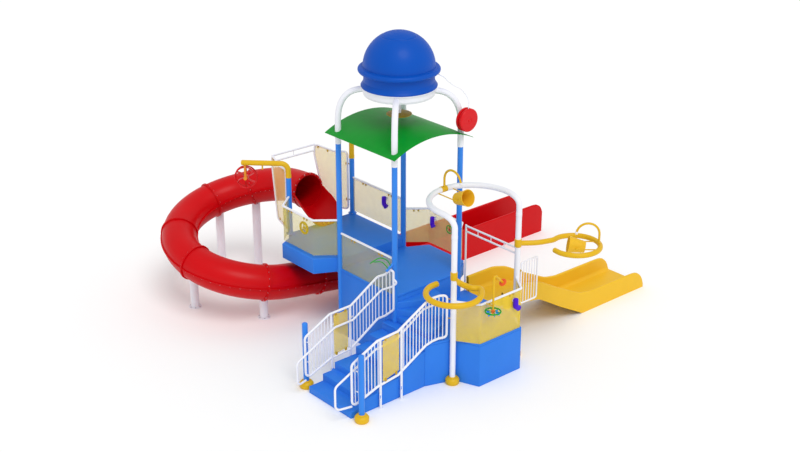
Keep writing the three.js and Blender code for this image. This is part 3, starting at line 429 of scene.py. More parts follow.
def flowing(points: Sequence[Vector], steps: int = 8) -> list[Vector]:
    """Draws a smooth line through every point.

    Args:
        points: The points to pass.
        steps: Steps between two points.

    Returns:
        The points of the smooth line.
    """
    route = [points[0].copy()]
    for i, (start, end) in enumerate(zip(points, points[1:])):
        before = points[max(i - 1, 0)]
        after = points[min(i + 2, len(points) - 1)]
        handles = (start + (end - before) / 6, end - (after - start) / 6)
        route += geometry.interpolate_bezier(start, *handles, end, steps + 1)[1:]
    return route


def arc(centre: Vector, radius: float, first: float, last: float, steps: int) -> list[Vector]:
    """Returns points on a level arc between two angles in degrees."""
    angles = [math.radians(first + (last - first) * k / steps) for k in range(steps + 1)]
    return [centre + Vector((math.cos(a), math.sin(a), 0.0)) * radius for a in angles]


def circle(radius: float, steps: int, height: float = 0.0) -> list[Vector]:
    """Returns points all round a level circle about Z."""
    return arc(UP * height, radius, 0, 360, steps)[:-1]


def turns(count: int, start: float = 0.0) -> list[Matrix]:
    """Returns even turns about Z, all the way round."""
    return [Matrix.Rotation(start + math.tau * k / count, 4, "Z") for k in range(count)]


def framed(origin: Vector, side: Vector, way: Vector) -> Matrix:
    """Sets up a frame.

    Args:
        origin: Where it lies.
        side: The direction that its X is turned towards.
        way: The direction of its Z.

    Returns:
        The frame.
    """
    z = way.normalized()
    x = (side - z * side.dot(z)).normalized()
    frame = Matrix((x, z.cross(x), z)).transposed().to_4x4()
    frame.translation = origin
    return frame


def carried(route: Sequence[Vector], closed: bool = False) -> list[Matrix]:
    """Frames that follow a route without twisting.

    Args:
        route: The route's points.
        closed: Whether the last point joins the first.

    Returns:
        One frame for each point.
    """
    count = len(route)
    ways = []
    for i in range(count):
        before = route[i - 1] if i or closed else route[0]
        after = route[(i + 1) % count] if i < count - 1 or closed else route[i]
        ways.append((after - before).normalized())
    side = ways[0].orthogonal()
    frames = []
    for i, way in enumerate(ways):
        if i:
            side = ways[i - 1].rotation_difference(way) @ side
        frames.append(framed(route[i], side, way))
    return frames


def strip(line: Sequence[Vector], thickness: float) -> list[Vector]:
    """The plan outline of a line with a thickness.

    Args:
        line: The line's points, read in plan.
        thickness: The strip's width.

    Returns:
        The outline, one side after the other.
    """
    points = [Vector((p.x, p.y, 0.0)) for p in line]
    ways = [(b - a).normalized() for a, b in zip(points, points[1:])]
    near, far = [], []
    for i, here in enumerate(points):
        into = ways[max(i - 1, 0)]
        out = ways[min(i, len(ways) - 1)]
        side = UP.cross(into + out).normalized()
        reach = thickness / 2 / side.dot(UP.cross(into))
        near.append(here + side * reach)
        far.append(here - side * reach)
    return near + far[::-1]


class Form:
    """A shape in the making, worked with mesh operators."""

    def __init__(self) -> None:
        """Starts with nothing."""
        self.mesh = bmesh.new()

    @classmethod
    def drawn(cls, points: Sequence[Vector], closed: bool) -> "Form":
        """Draws a line.

        Args:
            points: Its points.
            closed: Whether its end joins its start.

        Returns:
            The drawn line.
        """
        form = cls()
        verts = [form.mesh.verts.new(p) for p in points]
        for pair in zip(verts, verts[1:]):
            form.mesh.edges.new(pair)
        if closed:
            form.mesh.edges.new((verts[-1], verts[0]))
        return form

    @classmethod
    def swept(
        cls, section: Sequence[Vector], frames: Sequence[Matrix], closed: bool = False, ends: End = End.FLAT
    ) -> "Form":
        """Draws a closed section through a row of frames.

        Args:
            section: The section's points, in the X and Y of each frame.
            frames: The frames, in order.
            closed: Whether the last frame joins the first.
            ends: How the two ends are shut.

        Returns:
            The swept shape.
        """
        form = cls.drawn(section, True)
        mesh = form.mesh
        verts, edges = mesh.verts[:], mesh.edges[:]
        first = edges
        bmesh.ops.transform(mesh, matrix=frames[0], verts=verts)
        for before, frame in zip(frames, frames[1:]):
            made = bmesh.ops.extrude_edge_only(mesh, edges=edges)["geom"]
            verts = [item for item in made if isinstance(item, bmesh.types.BMVert)]
            edges = [item for item in made if isinstance(item, bmesh.types.BMEdge)]
            bmesh.ops.transform(mesh, matrix=frame @ before.inverted(), verts=verts)
        caps = []
        if closed:
            bmesh.ops.bridge_loops(mesh, edges=first + edges)
        elif ends is not End.OPEN:
            for loop in (first, edges):
                caps += bmesh.ops.edgeloop_fill(mesh, edges=loop)["faces"]
        bmesh.ops.recalc_face_normals(mesh, faces=mesh.faces)
        if ends is End.ROUND:
            reach = 0.45 * max(p.length for p in section)
            for cap in caps:
                form.bevel(cap.edges[:], reach, 4)
        return form

    @classmethod
    def pipe(
        cls,
        route: Sequence[Vector],
        radius: float,
        sides: int = 20,
        closed: bool = False,
        ends: End = End.FLAT,
    ) -> "Form":
        """Draws a round section along a route, which is closed or has two ends."""
        return cls.swept(circle(radius, sides), carried(route, closed), closed, ends)

    @classmethod
    def turned(cls, profile: Sequence[Vector], steps: int = 96) -> "Form":
        """Turns a profile about Z.

        Args:
            profile: Points with the radius as X and the height as Z, from axis to axis or closed on itself.
            steps: Steps round.

        Returns:
            The turned shape.
        """
        form = cls.drawn(profile, False)
        mesh = form.mesh
        bmesh.ops.spin(
            mesh,
            geom=mesh.verts[:] + mesh.edges[:],
            cent=(0, 0, 0),
            axis=(0, 0, 1),
            dvec=(0, 0, 0),
            angle=math.tau,
            steps=steps,
            space=Matrix.Identity(4),
            use_merge=True,
            use_duplicate=False,
        )
        return form.healed()

    @classmethod
    def drum(
        cls, radius: float, low: float, high: float, sides: int = 32, ease: float = 0.0, steps: int = 8
    ) -> "Form":
        """Makes a drum about Z between two heights, with its edges eased in so many steps, if at all."""
        profile = spots((0, low), (radius, low), (radius, high), (0, high))
        return cls.turned(rounded(profile, ease, steps) if ease else profile, sides)

    @classmethod
    def collar(cls, section: Sequence[Vector], ease: float, steps: int, sides: int) -> "Form":
        """Turns a closed section about Z, with its corners eased in so many steps."""
        profile = rounded(section, ease, steps, closed=True)
        return cls.turned([*profile, profile[0]], sides)

    @classmethod
    def bushing(cls, bore: float, radius: float, half: float, ease: float, steps: int, sides: int) -> "Form":
        """Makes a hub round a bore about Z, which reaches half to either side and has eased edges."""
        section = spots((bore, -half), (radius, -half), (radius, half), (bore, half))
        return cls.collar(section, ease, steps, sides)

    @classmethod
    def slab(cls, outline: Iterable[Sequence[float]], low: float, high: float) -> "Form":
        """Raises a plan outline from one height to another.

        Args:
            outline: The outline's points, of which the first two values are read.
            low, high: The two heights.

        Returns:
            The slab.
        """
        form = cls.drawn([Vector((p[0], p[1], low)) for p in outline], True)
        mesh = form.mesh
        bmesh.ops.edgeloop_fill(mesh, edges=mesh.edges[:])
        return form.raised(mesh.faces[:], UP * (high - low)).healed()

    @classmethod
    def upright(cls, outline: Iterable[Pair], near: float, far: float) -> "Form":
        """Sets up a side outline in X and Z, as thick as near to far along Y."""
        return cls.slab(outline, -far, -near).moved(Matrix.Rotation(math.pi / 2, 4, "X"))

    @classmethod
    def tray(cls, outline: Iterable[Pair], low: float, high: float, wall: float, plate: float) -> "Form":
        """Makes a slab that is hollow from below.

        Args:
            outline: The plan outline.
            low, high: The heights of its rim and its top.
            wall: The thickness round the hollow.
            plate: The thickness over the hollow.

        Returns:
            The tray.
        """
        form = cls.slab(outline, low, high)
        floor = min(form.mesh.faces, key=lambda face: face.calc_center_median().z)
        bmesh.ops.inset_region(form.mesh, faces=[floor], thickness=wall, use_even_offset=True)
        return form.raised([floor], UP * (high - plate - low), keep=False).healed()

    @classmethod
    def block(cls, low: Sequence[float], high: Sequence[float], edge: float = 0.003) -> "Form":
        """Makes a block with eased edges.

        Args:
            low, high: Two opposite corners.
            edge: The width of its eased edges.

        Returns:
            The block.
        """
        form = cls()
        low, high = Vector(low), Vector(high)
        size = Matrix.Diagonal((*(high - low), 1.0))
        bmesh.ops.create_cube(form.mesh, size=1.0, matrix=Matrix.Translation((low + high) / 2) @ size)
        return form.softened(edge, 2)

    @classmethod
    def skinned(cls, rows: Sequence[Sequence[Vector]], thickness: float) -> "Form":
        """Lays a sheet over rows of points and gives it a thickness.

        Args:
            rows: Rows with as many points each.
            thickness: The sheet's thickness, on one side or, if negative, on the other.

        Returns:
            The sheet.
        """
        form = cls()
        mesh = form.mesh
        bmesh.ops.create_grid(mesh, x_segments=len(rows[0]) - 1, y_segments=len(rows) - 1, size=1.0)
        for vert, point in zip(mesh.verts[:], [point for row in rows for point in row]):
            vert.co = point
        mesh.normal_update()
        bmesh.ops.solidify(mesh, geom=mesh.faces[:], thickness=thickness)
        bmesh.ops.recalc_face_normals(mesh, faces=mesh.faces)
        return form

    @classmethod
    def joined(cls, forms: Iterable["Form"]) -> "Form":
        """Puts several shapes in one."""
        return cls().add(*forms)

    def add(self, *others: "Form") -> "Form":
        """Takes other shapes in, which are used up."""
        for other in others:
            carrier = other.baked()
            self.mesh.from_mesh(carrier)
            bpy.data.meshes.remove(carrier)
        return self

    def raised(self, faces: list[bmesh.types.BMFace], by: Vector, keep: bool = True) -> "Form":
        """Extrudes faces.

        Args:
            faces: The faces.
            by: How far they move.
            keep: Whether the old faces stay.

        Returns:
            The shape itself.
        """
        made = bmesh.ops.extrude_face_region(self.mesh, geom=faces)["geom"]
        verts = [item for item in made if isinstance(item, bmesh.types.BMVert)]
        bmesh.ops.translate(self.mesh, vec=by, verts=verts)
        if not keep:
            bmesh.ops.delete(self.mesh, geom=faces, context="FACES_ONLY")
        return self

    def healed(self) -> "Form":
        """Merges doubles and turns the faces outwards."""
        bmesh.ops.remove_doubles(self.mesh, verts=self.mesh.verts, dist=WELD)
        bmesh.ops.recalc_face_normals(self.mesh, faces=self.mesh.faces)
        return self

    def bevel(self, edges: list[bmesh.types.BMEdge], width: float, segments: int) -> "Form":
        """Rounds edges off.

        Args:
            edges: The edges.
            width: How far back from each edge the rounding starts.
            segments: Steps in it.

        Returns:
            The shape itself.
        """
        bmesh.ops.bevel(
            self.mesh,
            geom=edges,
            offset=width,
            offset_type="OFFSET",
            segments=segments,
            profile=0.5,
            affect="EDGES",
            clamp_overlap=True,
            material=-1,
        )
        return self

    def softened(self, width: float, segments: int = 3, crease: float = CREASE) -> "Form":
        """Rounds every edge off that is sharper than a crease."""
        sharp = [e for e in self.mesh.edges if e.is_manifold and e.calc_face_angle(0.0) > crease]
        return self.bevel(sharp, width, segments)

    def moved(self, matrix: Matrix) -> "Form":
        """Moves or turns the shape."""
        bmesh.ops.transform(self.mesh, matrix=matrix, verts=self.mesh.verts)
        return self

    def shifted(self, by: Sequence[float]) -> "Form":
        """Moves the shape by a vector."""
        return self.moved(Matrix.Translation(by))

    def copied(self, matrices: Iterable[Matrix]) -> "Form":
        """Copies the shape, which is used up.

        Args:
            matrices: Where the copies go.

        Returns:
            All the copies in one shape.
        """
        carrier = self.baked()
        copies = Form()
        for matrix in matrices:
            placed = carrier.copy()
            placed.transform(matrix)
            copies.mesh.from_mesh(placed)
            bpy.data.meshes.remove(placed)
        bpy.data.meshes.remove(carrier)
        return copies

    def baked(self, name: str = "carrier") -> bpy.types.Mesh:
        """Writes the shape to new mesh data, and uses the shape up."""
        data = bpy.data.meshes.new(name)
        self.mesh.to_mesh(data)
        self.mesh.free()
        return data

    def piece(self, name: str, finish: Finish, replaces: Sequence[str] = (), body: str = ROOT) -> None:
        """Finishes the shape as a piece of the structure.

        Args:
            name: The piece's name.
            finish: Its finish.
            replaces: The frame's nodes that it stands for.
            body: The body that it rides on.
        """
        for face in self.mesh.faces:
            face.smooth = True
        for edge in self.mesh.edges:
            edge.smooth = not (edge.is_manifold and edge.calc_face_angle(0.0) > CREASE)
        data = self.baked(name)
        data.materials.append(material_of(finish))
        thing = placed(name, data)
        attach(thing, body)
        if replaces:
            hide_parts(*replaces)
        log.info("%s: %d faces on %s", name, len(data.polygons), body)


def bar(start: Vector, end: Vector, radius: float, sides: int = 16, ends: End = End.FLAT) -> Form:
    """Makes a straight round bar."""
    return Form.pipe([start, end], radius, sides, ends=ends)


def bolts(frames: Iterable[Matrix], size: float = 0.011) -> Form:
    """Makes hexagonal bolt heads with washers, standing along the Z of each frame."""
    washer = Form.drum(1.5, 0, 0.25, 10)
    head = Form.turned(spots((0, 0.25), (1, 0.25), (1, 0.8), (0.8, 1.0), (0, 1.0)), 6)
    return washer.add(head).moved(Matrix.Scale(size, 4)).copied(frames)


def ring_frames(frame: Matrix, radius: float, count: int, start: float = 0.0) -> list[Matrix]:
    """Returns frames spaced round a circle in the plane of a frame."""
    return [frame @ turn @ Matrix.Translation((radius, 0, 0)) for turn in turns(count, start)]


def deck_post(foot: Vector, joint: Vector, radius: float) -> Form:
    """Makes a post that stands on a deck, from its foot plate up to its joint."""
    plate = Form.drum(PLATE_R, 0, PLATE_H, TUBE_SIDES).shifted(foot)
    return bar(foot, joint, radius, TUBE_SIDES).add(plate)


@dataclass(frozen=True)
class Plan:
    """The levels and the post grid, read from the frame."""

    module: float
    deck: float
    far: float
    low: float
    edge: float = 0.03

    @classmethod
    def measured(cls) -> "Plan":
        """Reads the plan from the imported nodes."""
        low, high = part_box("post_right")
        levels = (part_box(node)[1].z for node in ("main_deck", "far_deck", "low_deck"))
        return cls((low.x + high.x) / 2, *levels)

    def at(self, across: float, along: float, height: float = 0.0) -> Vector:
        """Returns a point, given modules across and along and a height."""
        return Vector((across * self.module, along * self.module, height))

    @property
    def corners(self) -> dict[str, Pair]:
        """The roofed deck's posts, in modules across and along."""
        return {"front": (0, 0), "right": (1, 0), "left": (0, 1), "back": (1, 1)}


@dataclass
class Posts:
    """The blue posts of the roofed deck and the far corner, with the small pipes on the front one."""

    plan: Plan
    radius: float = 0.06
    top: float = 4.52
    far_top: float = 3.75
    far_joint: float = 3.22
    branch: float = 0.03
    pipe: float = 0.011
    outer: tuple[Pair, ...] = ((-0.11, 2.33), (-0.19, 2.47), (-0.32, 2.57), (-0.46, 2.605), (-0.67, 2.56))
    inner: tuple[Pair, ...] = ((-0.185, 2.29), (-0.26, 2.4), (-0.37, 2.505), (-0.56, 2.56))

    def build(self) -> None:
        """Makes the posts."""
        for name, (across, along) in self.plan.corners.items():
            foot = self.plan.at(across, along)
            post = bar(foot, foot + UP * self.top, self.radius, TUBE_SIDES)
            post.piece(f"{name}_post_tube", POST_BLUE, (f"post_{name}",))
        self.far_post()
        self.arched_pipes()

    def far_post(self) -> None:
        """Makes the post at the far corner, which is yellow over its joint."""
        foot, joint, top = (self.plan.at(1, 2, z) for z in (self.plan.far, self.far_joint, self.far_top))
        deck_post(foot, joint, self.radius).piece("far_post_tube", POST_BLUE, ("post_far",))
        seats = ring_frames(Matrix.Translation(foot + UP * PLATE_H), PLATE_R - 0.018, 4, math.pi / 4)
        bolts(seats, 0.009).piece("far_post_bolts", FASTENER)
        sleeve = Form.drum(self.radius + 0.005, 0, SLEEVE_H, TUBE_SIDES).shifted(joint)
        crown = bar(joint, top, self.radius, TUBE_SIDES, End.ROUND).add(sleeve)
        crown.piece("far_post_crown", PIPE_YELLOW)

    def arched_pipes(self) -> None:
        """Makes the branch on the front post and its two thin arched pipes."""
        branch = bar(spot(0, 2.39), spot(-0.235, 2.246), self.branch, 24, End.ROUND)
        branch.piece("front_branch", POST_BLUE)
        lines = [flowing(spots(*line), 10) for line in (self.outer, self.inner)]
        pipes = Form.joined(Form.pipe(line, self.pipe, 12, ends=End.ROUND) for line in lines)
        pipes.piece("arched_pipes", TOY_GREEN)


@dataclass
class WheelArm:
    """The bent arm at the far corner, and what hangs from it."""

    plan: Plan
    radius: float = 0.06
    top: float = 3.53
    join: float = 3.2
    reach: float = 1.06
    bend: float = 0.23
    hanger_at: float = 0.98
    wheel_z: float = 3.155
    wheel_off: float = 0.085
    axle: float = 0.012

    @property
    def out(self) -> Vector:
        """The way in which the arm reaches."""
        return Vector((-1, 1, 0)).normalized()

    @property
    def hub(self) -> Vector:
        """The point of the hanger at the wheel's axle."""
        return self.plan.at(0, 2, self.wheel_z) + self.out * self.hanger_at

    def build(self) -> None:
        """Makes the post, the arm, the hanger and its nozzle."""
        foot, joint, knee = (self.plan.at(0, 2, z) for z in (self.plan.far, self.join, self.top))
        deck_post(foot, joint, self.radius).piece("arm_post_tube", POST_BLUE, ("arm_post",))
        route = rounded([joint, knee, knee + self.out * self.reach], self.bend, 16)
        arm = Form.pipe(route, self.radius, TUBE_SIDES, ends=End.ROUND)
        arm.add(Form.drum(self.radius + 0.006, 0, SLEEVE_H, TUBE_SIDES).shifted(joint))
        arm.piece("wheel_arm", PIPE_YELLOW)
        self.hanger()

    def hanger(self) -> None:
        """Makes the hanger with the axle, and the nozzle beside it."""
        top = self.hub + UP * (self.top - self.wheel_z)
        drop = bar(self.hub - UP * 0.045, top, 0.027, 20, End.ROUND)
        axis = Vector((1, 1, 0)).normalized()
        boss = Form.drum(0.038, -0.034, 0.028).moved(framed(self.hub, UP, axis))
        drop.add(boss).piece("wheel_hanger", HANGER_AMBER)
        end = self.hub + axis * (self.wheel_off + 0.062)
        bar(self.hub, end, self.axle, 24, End.ROUND).piece("wheel_axle", FASTENER)
        jet = self.plan.at(0, 2, self.top) + self.out * (self.reach * 0.55)
        nozzle = rounded(spots((0, -0.15), (0.022, -0.15), (0.017, -0.1), (0.02, 0), (0, 0)), 0.004)
        Form.turned(nozzle, 24).shifted(jet).piece("arm_nozzle", PIPE_YELLOW)


@dataclass
class Decks:
    """The three decks and their skirts."""

    plan: Plan
    plate: float = 0.06
    low_plate: float = 0.05
    fascia: float = 0.35
    wall: float = 0.036
    bay_depth: float = 0.46
    bay_face: float = 1.14
    bay_root: float = 1.62
    round_over: float = 0.012
    platform: tuple[Pair, ...] = (
        (-0.2, -1.19), (0.43, -1.4), (0.645, -1.945), (1.856, -1.945), (2.07, -1.4), (2.19, -1.33),
    )
    stair_far: float = 0.19
    header_y: float = 0.155

    def bay(self, x: float, y: float, way: int) -> list[Pair]:
        """The plan of a deck's bay.

        Args:
            x, y: The middle of its root.
            way: 1 if it reaches towards +X, and -1 towards -X.

        Returns:
            The bay's four corners.
        """
        reach = x + way * self.bay_depth
        root, face = self.bay_root / 2, self.bay_face / 2
        return [(x, y - root), (reach, y - face), (reach, y + face), (x, y + root)]

    def build(self) -> None:
        """Makes the decks and their skirts."""
        self.main_deck()
        self.far_deck()
        self.low_deck()
        self.skirts()

    def main_deck(self) -> None:
        """Makes the roofed deck with its bay."""
        edge, module, top = self.plan.edge, self.plan.module, self.plan.deck
        x1 = module + edge
        past = module - edge - SEAT
        outline = [(-edge, -edge), (x1, -edge), *self.bay(x1, module / 2, 1), (x1, past), (-edge, past)]
        plate = Form.slab(outline, top - self.plate, top).softened(self.round_over)
        line = [Vector((x, y, 0)) for x, y in self.bay(x1 - self.wall, module / 2, 1)]
        skirt = Form.slab(strip(line, self.wall), top - self.fascia, top - self.plate)
        skirt.softened(0.006).shifted((self.wall / 2, 0, 0))
        plate.add(skirt).piece("main_deck_shell", DECK_BLUE, ("main_deck",))

    def far_deck(self) -> None:
        """Makes the deck of the tube slide with its bay."""
        edge, module, top = self.plan.edge, self.plan.module, self.plan.far
        x1, front, end = module + edge, module - edge, 2 * module + edge
        bay = self.bay(-edge, 1.5 * module, -1)[::-1]
        outline = [(-edge, front), (x1, front), (x1, end), (-edge, end), *bay]
        form = Form.tray(outline, top - self.fascia, top, self.wall, self.plate)
        form.softened(self.round_over).piece("far_deck_shell", DECK_BLUE, ("far_deck",))

    def low_deck(self) -> None:
        """Makes the low platform's deck."""
        inner, outer = -self.plan.edge - SEAT, self.plan.module + self.plan.edge + SEAT
        left, right = self.platform[0][0], self.platform[-1][0]
        outline = [
            *self.platform, (right, self.header_y), (outer, self.header_y), (outer, 0), (inner, 0),
            (inner, self.stair_far), (left, self.stair_far),
        ]
        form = Form.slab(outline, self.plan.low - self.low_plate, self.plan.low)
        form.softened(self.round_over).piece("low_deck_shell", DECK_BLUE, ("low_deck",))

    def skirts(self) -> None:
        """Makes the walls that reach down from the decks."""
        edge, module = self.plan.edge, self.plan.module
        top = self.plan.deck - self.plate - SEAT
        past = module - edge - SEAT
        low = self.plan.low
        walls = {
            "left_skirt": ((-edge, 0.0, 0.0), (0.0, past, top)),
            "right_skirt": ((module, 0.0, 0.0), (module + edge, past, top)),
            "riser_wall": ((0.0, -edge, low + SEAT), (module, 0.0, top)),
        }
        for node, corners in walls.items():
            Form.block(*corners, 0.008).piece(f"{node}_panel", DECK_BLUE, (node,))
        right = self.platform[-1][0]
        line = [
            (-edge - 0.004, self.stair_far), (self.platform[0][0], self.stair_far), *self.platform,
            (right, self.header_y), (module, self.header_y),
        ]
        inner = inset(line, self.wall)
        form = Form.slab(line + inner[::-1], 0.0, low - self.low_plate - SEAT)
        form.softened(0.01, crease=math.radians(12))
        form.piece("platform_skirt_wall", DECK_BLUE, ("platform_skirt",))


def inset(line: Sequence[Pair], distance: float) -> list[Pair]:
    """Moves an open plan line to its left by a distance."""
    outline = strip([Vector((x, y, 0)) for x, y in line], 2 * distance)
    return [(p.x, p.y) for p in outline[: len(line)]]


@dataclass
class Stairs:
    """Two straight flights with a landing, and the winding steps to the roofed deck."""

    plan: Plan
    landing: float = 0.48
    near: float = -1.19
    far: float = 0.19
    foot: float = -2.18
    going: Pair = (0.36, 0.32)
    landing_run: float = 0.57
    top_x: float = -0.2
    winder_r: float = 1.07
    winders: int = 3
    nosing: float = 0.014

    def build(self) -> None:
        """Makes the flights and the winders."""
        rise = self.landing / 3
        x1 = self.foot + self.going[0]
        x2 = x1 + self.going[1]
        x3 = x2 + self.landing_run
        lower = [
            (self.foot, 0), (x3, 0), (x3, self.landing), (x2, self.landing), (x2, 2 * rise), (x1, 2 * rise),
            (x1, rise), (self.foot, rise),
        ]
        self.flight(lower, "lower_flight")
        rise = (self.plan.low - self.landing) / 3
        middle = (x3 + self.top_x) / 2
        end = self.top_x - SEAT
        upper = [
            (x3 + SEAT, 0), (end, 0), (end, self.landing + 2 * rise), (middle, self.landing + 2 * rise),
            (middle, self.landing + rise), (x3 + SEAT, self.landing + rise),
        ]
        self.flight(upper, "upper_flight")
        self.winding()

    def flight(self, outline: Sequence[Pair], node: str) -> None:
        """Makes one flight from its side outline."""
        form = Form.upright(outline, self.near, self.far).softened(self.nosing, 4)
        form.piece(f"{node}_steps", DECK_BLUE, (node,))

    def winding(self) -> None:
        """Makes the fan of steps round the front post."""
        step = (self.plan.deck - self.plan.low) / (self.winders + 1)
        wall = -self.plan.edge - SEAT
        fan = Form()
        for i in range(self.winders):
            first = -90 + 30 * i
            last = math.degrees(math.asin(wall / self.winder_r))
            rim = arc(Vector(), self.winder_r, first, last, 20)
            outline = [Vector((0.0, wall, 0.0)), *rim]
            foot = self.plan.low + SEAT
            fan.add(Form.slab(outline, foot, self.plan.low + step * (i + 1)).softened(self.nosing, 4))
        fan.piece("winding_steps", DECK_BLUE, ("winder_steps",))


@dataclass
class FootCup:
    """A squat yellow cup round the foot of a pole."""

    radius: float = 0.148
    height: float = 0.15

    def form(self, x: float, y: float, core: float) -> Form:
        """Makes the cup.

        Args:
            x, y: Where it stands.
            core: The radius of the pole in it.

        Returns:
            The cup.
        """
        r, h = self.radius, self.height
        corners = spots(
            (0, 0), (r - 0.012, 0), (r, 0.03), (r, h - 0.045), (r - 0.03, h - 0.005),
            (core + 0.02, h), (core + 0.012, h + 0.018), (0, h + 0.018),
        )
        return Form.turned(rounded(corners, 0.012, 5), 64).shifted((x, y, 0))


@dataclass
class StairPosts:
    """The two blue posts beside the stair's foot, each in its cup."""

    x: float = -2.07
    near: float = -1.395
    far: float = 0.42
    radius: float = 0.06
    foot: float = 0.1
    top: float = 1.5
    shoulder: float = 0.035

    def build(self) -> None:
        """Makes both posts and their cups."""
        for name, y in (("near", self.near), ("far", self.far)):
            post = Form.drum(self.radius, self.foot, self.top, TUBE_SIDES, self.shoulder)
            post.shifted((self.x, y, 0)).piece(f"stair_post_{name}_tube", POST_BLUE, (f"stair_post_{name}",))
            FootCup().form(self.x, y, self.radius).piece(f"stair_post_{name}_cup", PIPE_YELLOW)


@dataclass
class StairRailing:
    """A railing of white tube with close bars, a sheet between its legs and a grab rail beside it."""

    name: str
    rows: Sequence[tuple[float, float, float, float]]
    legs: Pair
    grab: Sequence[Vector]
    post: Pair
    ties: Sequence[tuple[Vector, Vector]]
    wall: float
    rail: float = 0.025
    leg: float = 0.027
    baluster: float = 0.0105
    pitch: float = 0.085
    bend: float = 0.1
    sheet: float = 0.008
    tab_levels: Pair = (0.235, 0.305)
    arm_levels: Pair = (0.62, 1.08)

    def at(self, distance: float) -> tuple[Vector, Vector]:
        """Finds both rails at a distance along the railing.

        Args:
            distance: Metres from its start, in plan.

        Returns:
            The points on the low and the top rail.
        """
        run = distance
        for (ax, ay, al, ah), (bx, by, bl, bh) in zip(self.rows, self.rows[1:]):
            length = math.hypot(bx - ax, by - ay)
            if run <= length or (bx, by) == self.rows[-1][:2]:
                share = run / length
                x, y = ax + (bx - ax) * share, ay + (by - ay) * share
                return Vector((x, y, al + (bl - al) * share)), Vector((x, y, ah + (bh - ah) * share))
            run -= length
        raise ValueError(distance)

    @property
    def length(self) -> float:
        """The railing's length in plan."""
        return sum(math.hypot(b[0] - a[0], b[1] - a[1]) for a, b in zip(self.rows, self.rows[1:]))

    def build(self) -> None:
        """Makes the railing's tubes, bars, tabs, sheet and grab rail."""
        low = [Vector((x, y, z)) for x, y, z, _ in self.rows]
        high = [Vector((x, y, z)) for x, y, _, z in self.rows]
        tubes = Form.pipe(rounded([*high, *low[::-1]], self.bend, 8, True), self.rail, 18, closed=True)
        for distance in self.legs:
            top = self.at(distance)[1]
            foot = Vector((top.x, top.y, 0))
            tubes.add(bar(foot, top, self.leg, 16))
            tubes.add(Form.drum(0.05, 0, 0.012).shifted(foot))
        tubes.piece(f"{self.name}_tubes", WHITE, (self.name,))
        self.bars()
        self.grab_rail()
        self.fittings()

    def bars(self) -> None:
        """Makes the upright bars outside the legs."""
        bars = Form()
        count = math.floor(self.length / self.pitch)
        for k in range(1, count):
            s = self.length * k / count
            if self.legs[0] - self.pitch * 0.6 < s < self.legs[1] + self.pitch * 0.6:
                continue
            bars.add(bar(*self.at(s), self.baluster, 8, End.OPEN))
        bars.piece(f"{self.name}_bars", WHITE)

    def grab_rail(self) -> None:
        """Makes the lower rail for hands and its short arms."""
        y = self.rows[0][1]
        level = self.grab[2].y
        rail = Form.pipe(rounded(self.grab, 0.12, 8), self.rail - 0.003, 16, ends=End.ROUND)
        for distance in self.legs:
            top = self.at(distance)[1]
            z = top.z - 0.24
            hook = [Vector((top.x, y, z)), Vector((top.x, level, z)), Vector((top.x, level, z + 0.04))]
            rail.add(Form.pipe(rounded(hook, 0.03, 5), 0.009, 10))
        rail.piece(f"{self.name}_grab_rail", WHITE)

    def fittings(self) -> None:
        """Makes the sheet between the legs, the wall tabs, the ties and the post's arms."""
        (a_low, a_high), (b_low, b_high) = (self.at(distance) for distance in self.legs)
        y = a_low.y
        side_gap, end_gap = self.leg + 0.036, 0.06
        outline = [
            (a_low.x + side_gap, a_low.z + end_gap), (b_low.x - side_gap, b_low.z + end_gap),
            (b_high.x - side_gap, b_high.z - end_gap), (a_high.x + side_gap, a_high.z - end_gap),
        ]
        sheet = Form.upright(outline, y - self.sheet / 2, y + self.sheet / 2).softened(0.002, 2)
        sheet.piece(f"{self.name}_sheet", GUARD_YELLOW)
        clips = Form()
        for start, end, way in ((a_low, b_low, 1), (a_high, b_high, -1)):
            for share in (0.25, 0.75):
                at = start.lerp(end, share)
                z0, z1 = sorted((at.z + way * 0.014, at.z + way * 0.085))
                clips.add(Form.block((at.x - 0.022, y - 0.014, z0), (at.x + 0.022, y + 0.014, z1)))
        for start, end in self.ties:
            clips.add(bar(start, end, 0.012, 12))
        clips.piece(f"{self.name}_clips", CLIP_PAINTED_SHADE)
        tabs = Form()
        side = math.copysign(1, self.wall - y)
        y0, y1 = sorted((y - side * 0.024, self.wall))
        z0, z1 = self.tab_levels
        for low in (a_low, b_low):
            tabs.add(Form.block((low.x - 0.022, y0, z0), (low.x + 0.022, y1, z1)))
        tabs.piece(f"{self.name}_tabs", POST_BLUE)
        arms = Form()
        for z in self.arm_levels:
            arms.add(bar(Vector((self.post[0], y, z)), Vector((*self.post, z)), 0.014, 12))
        arms.piece(f"{self.name}_arms", WHITE)


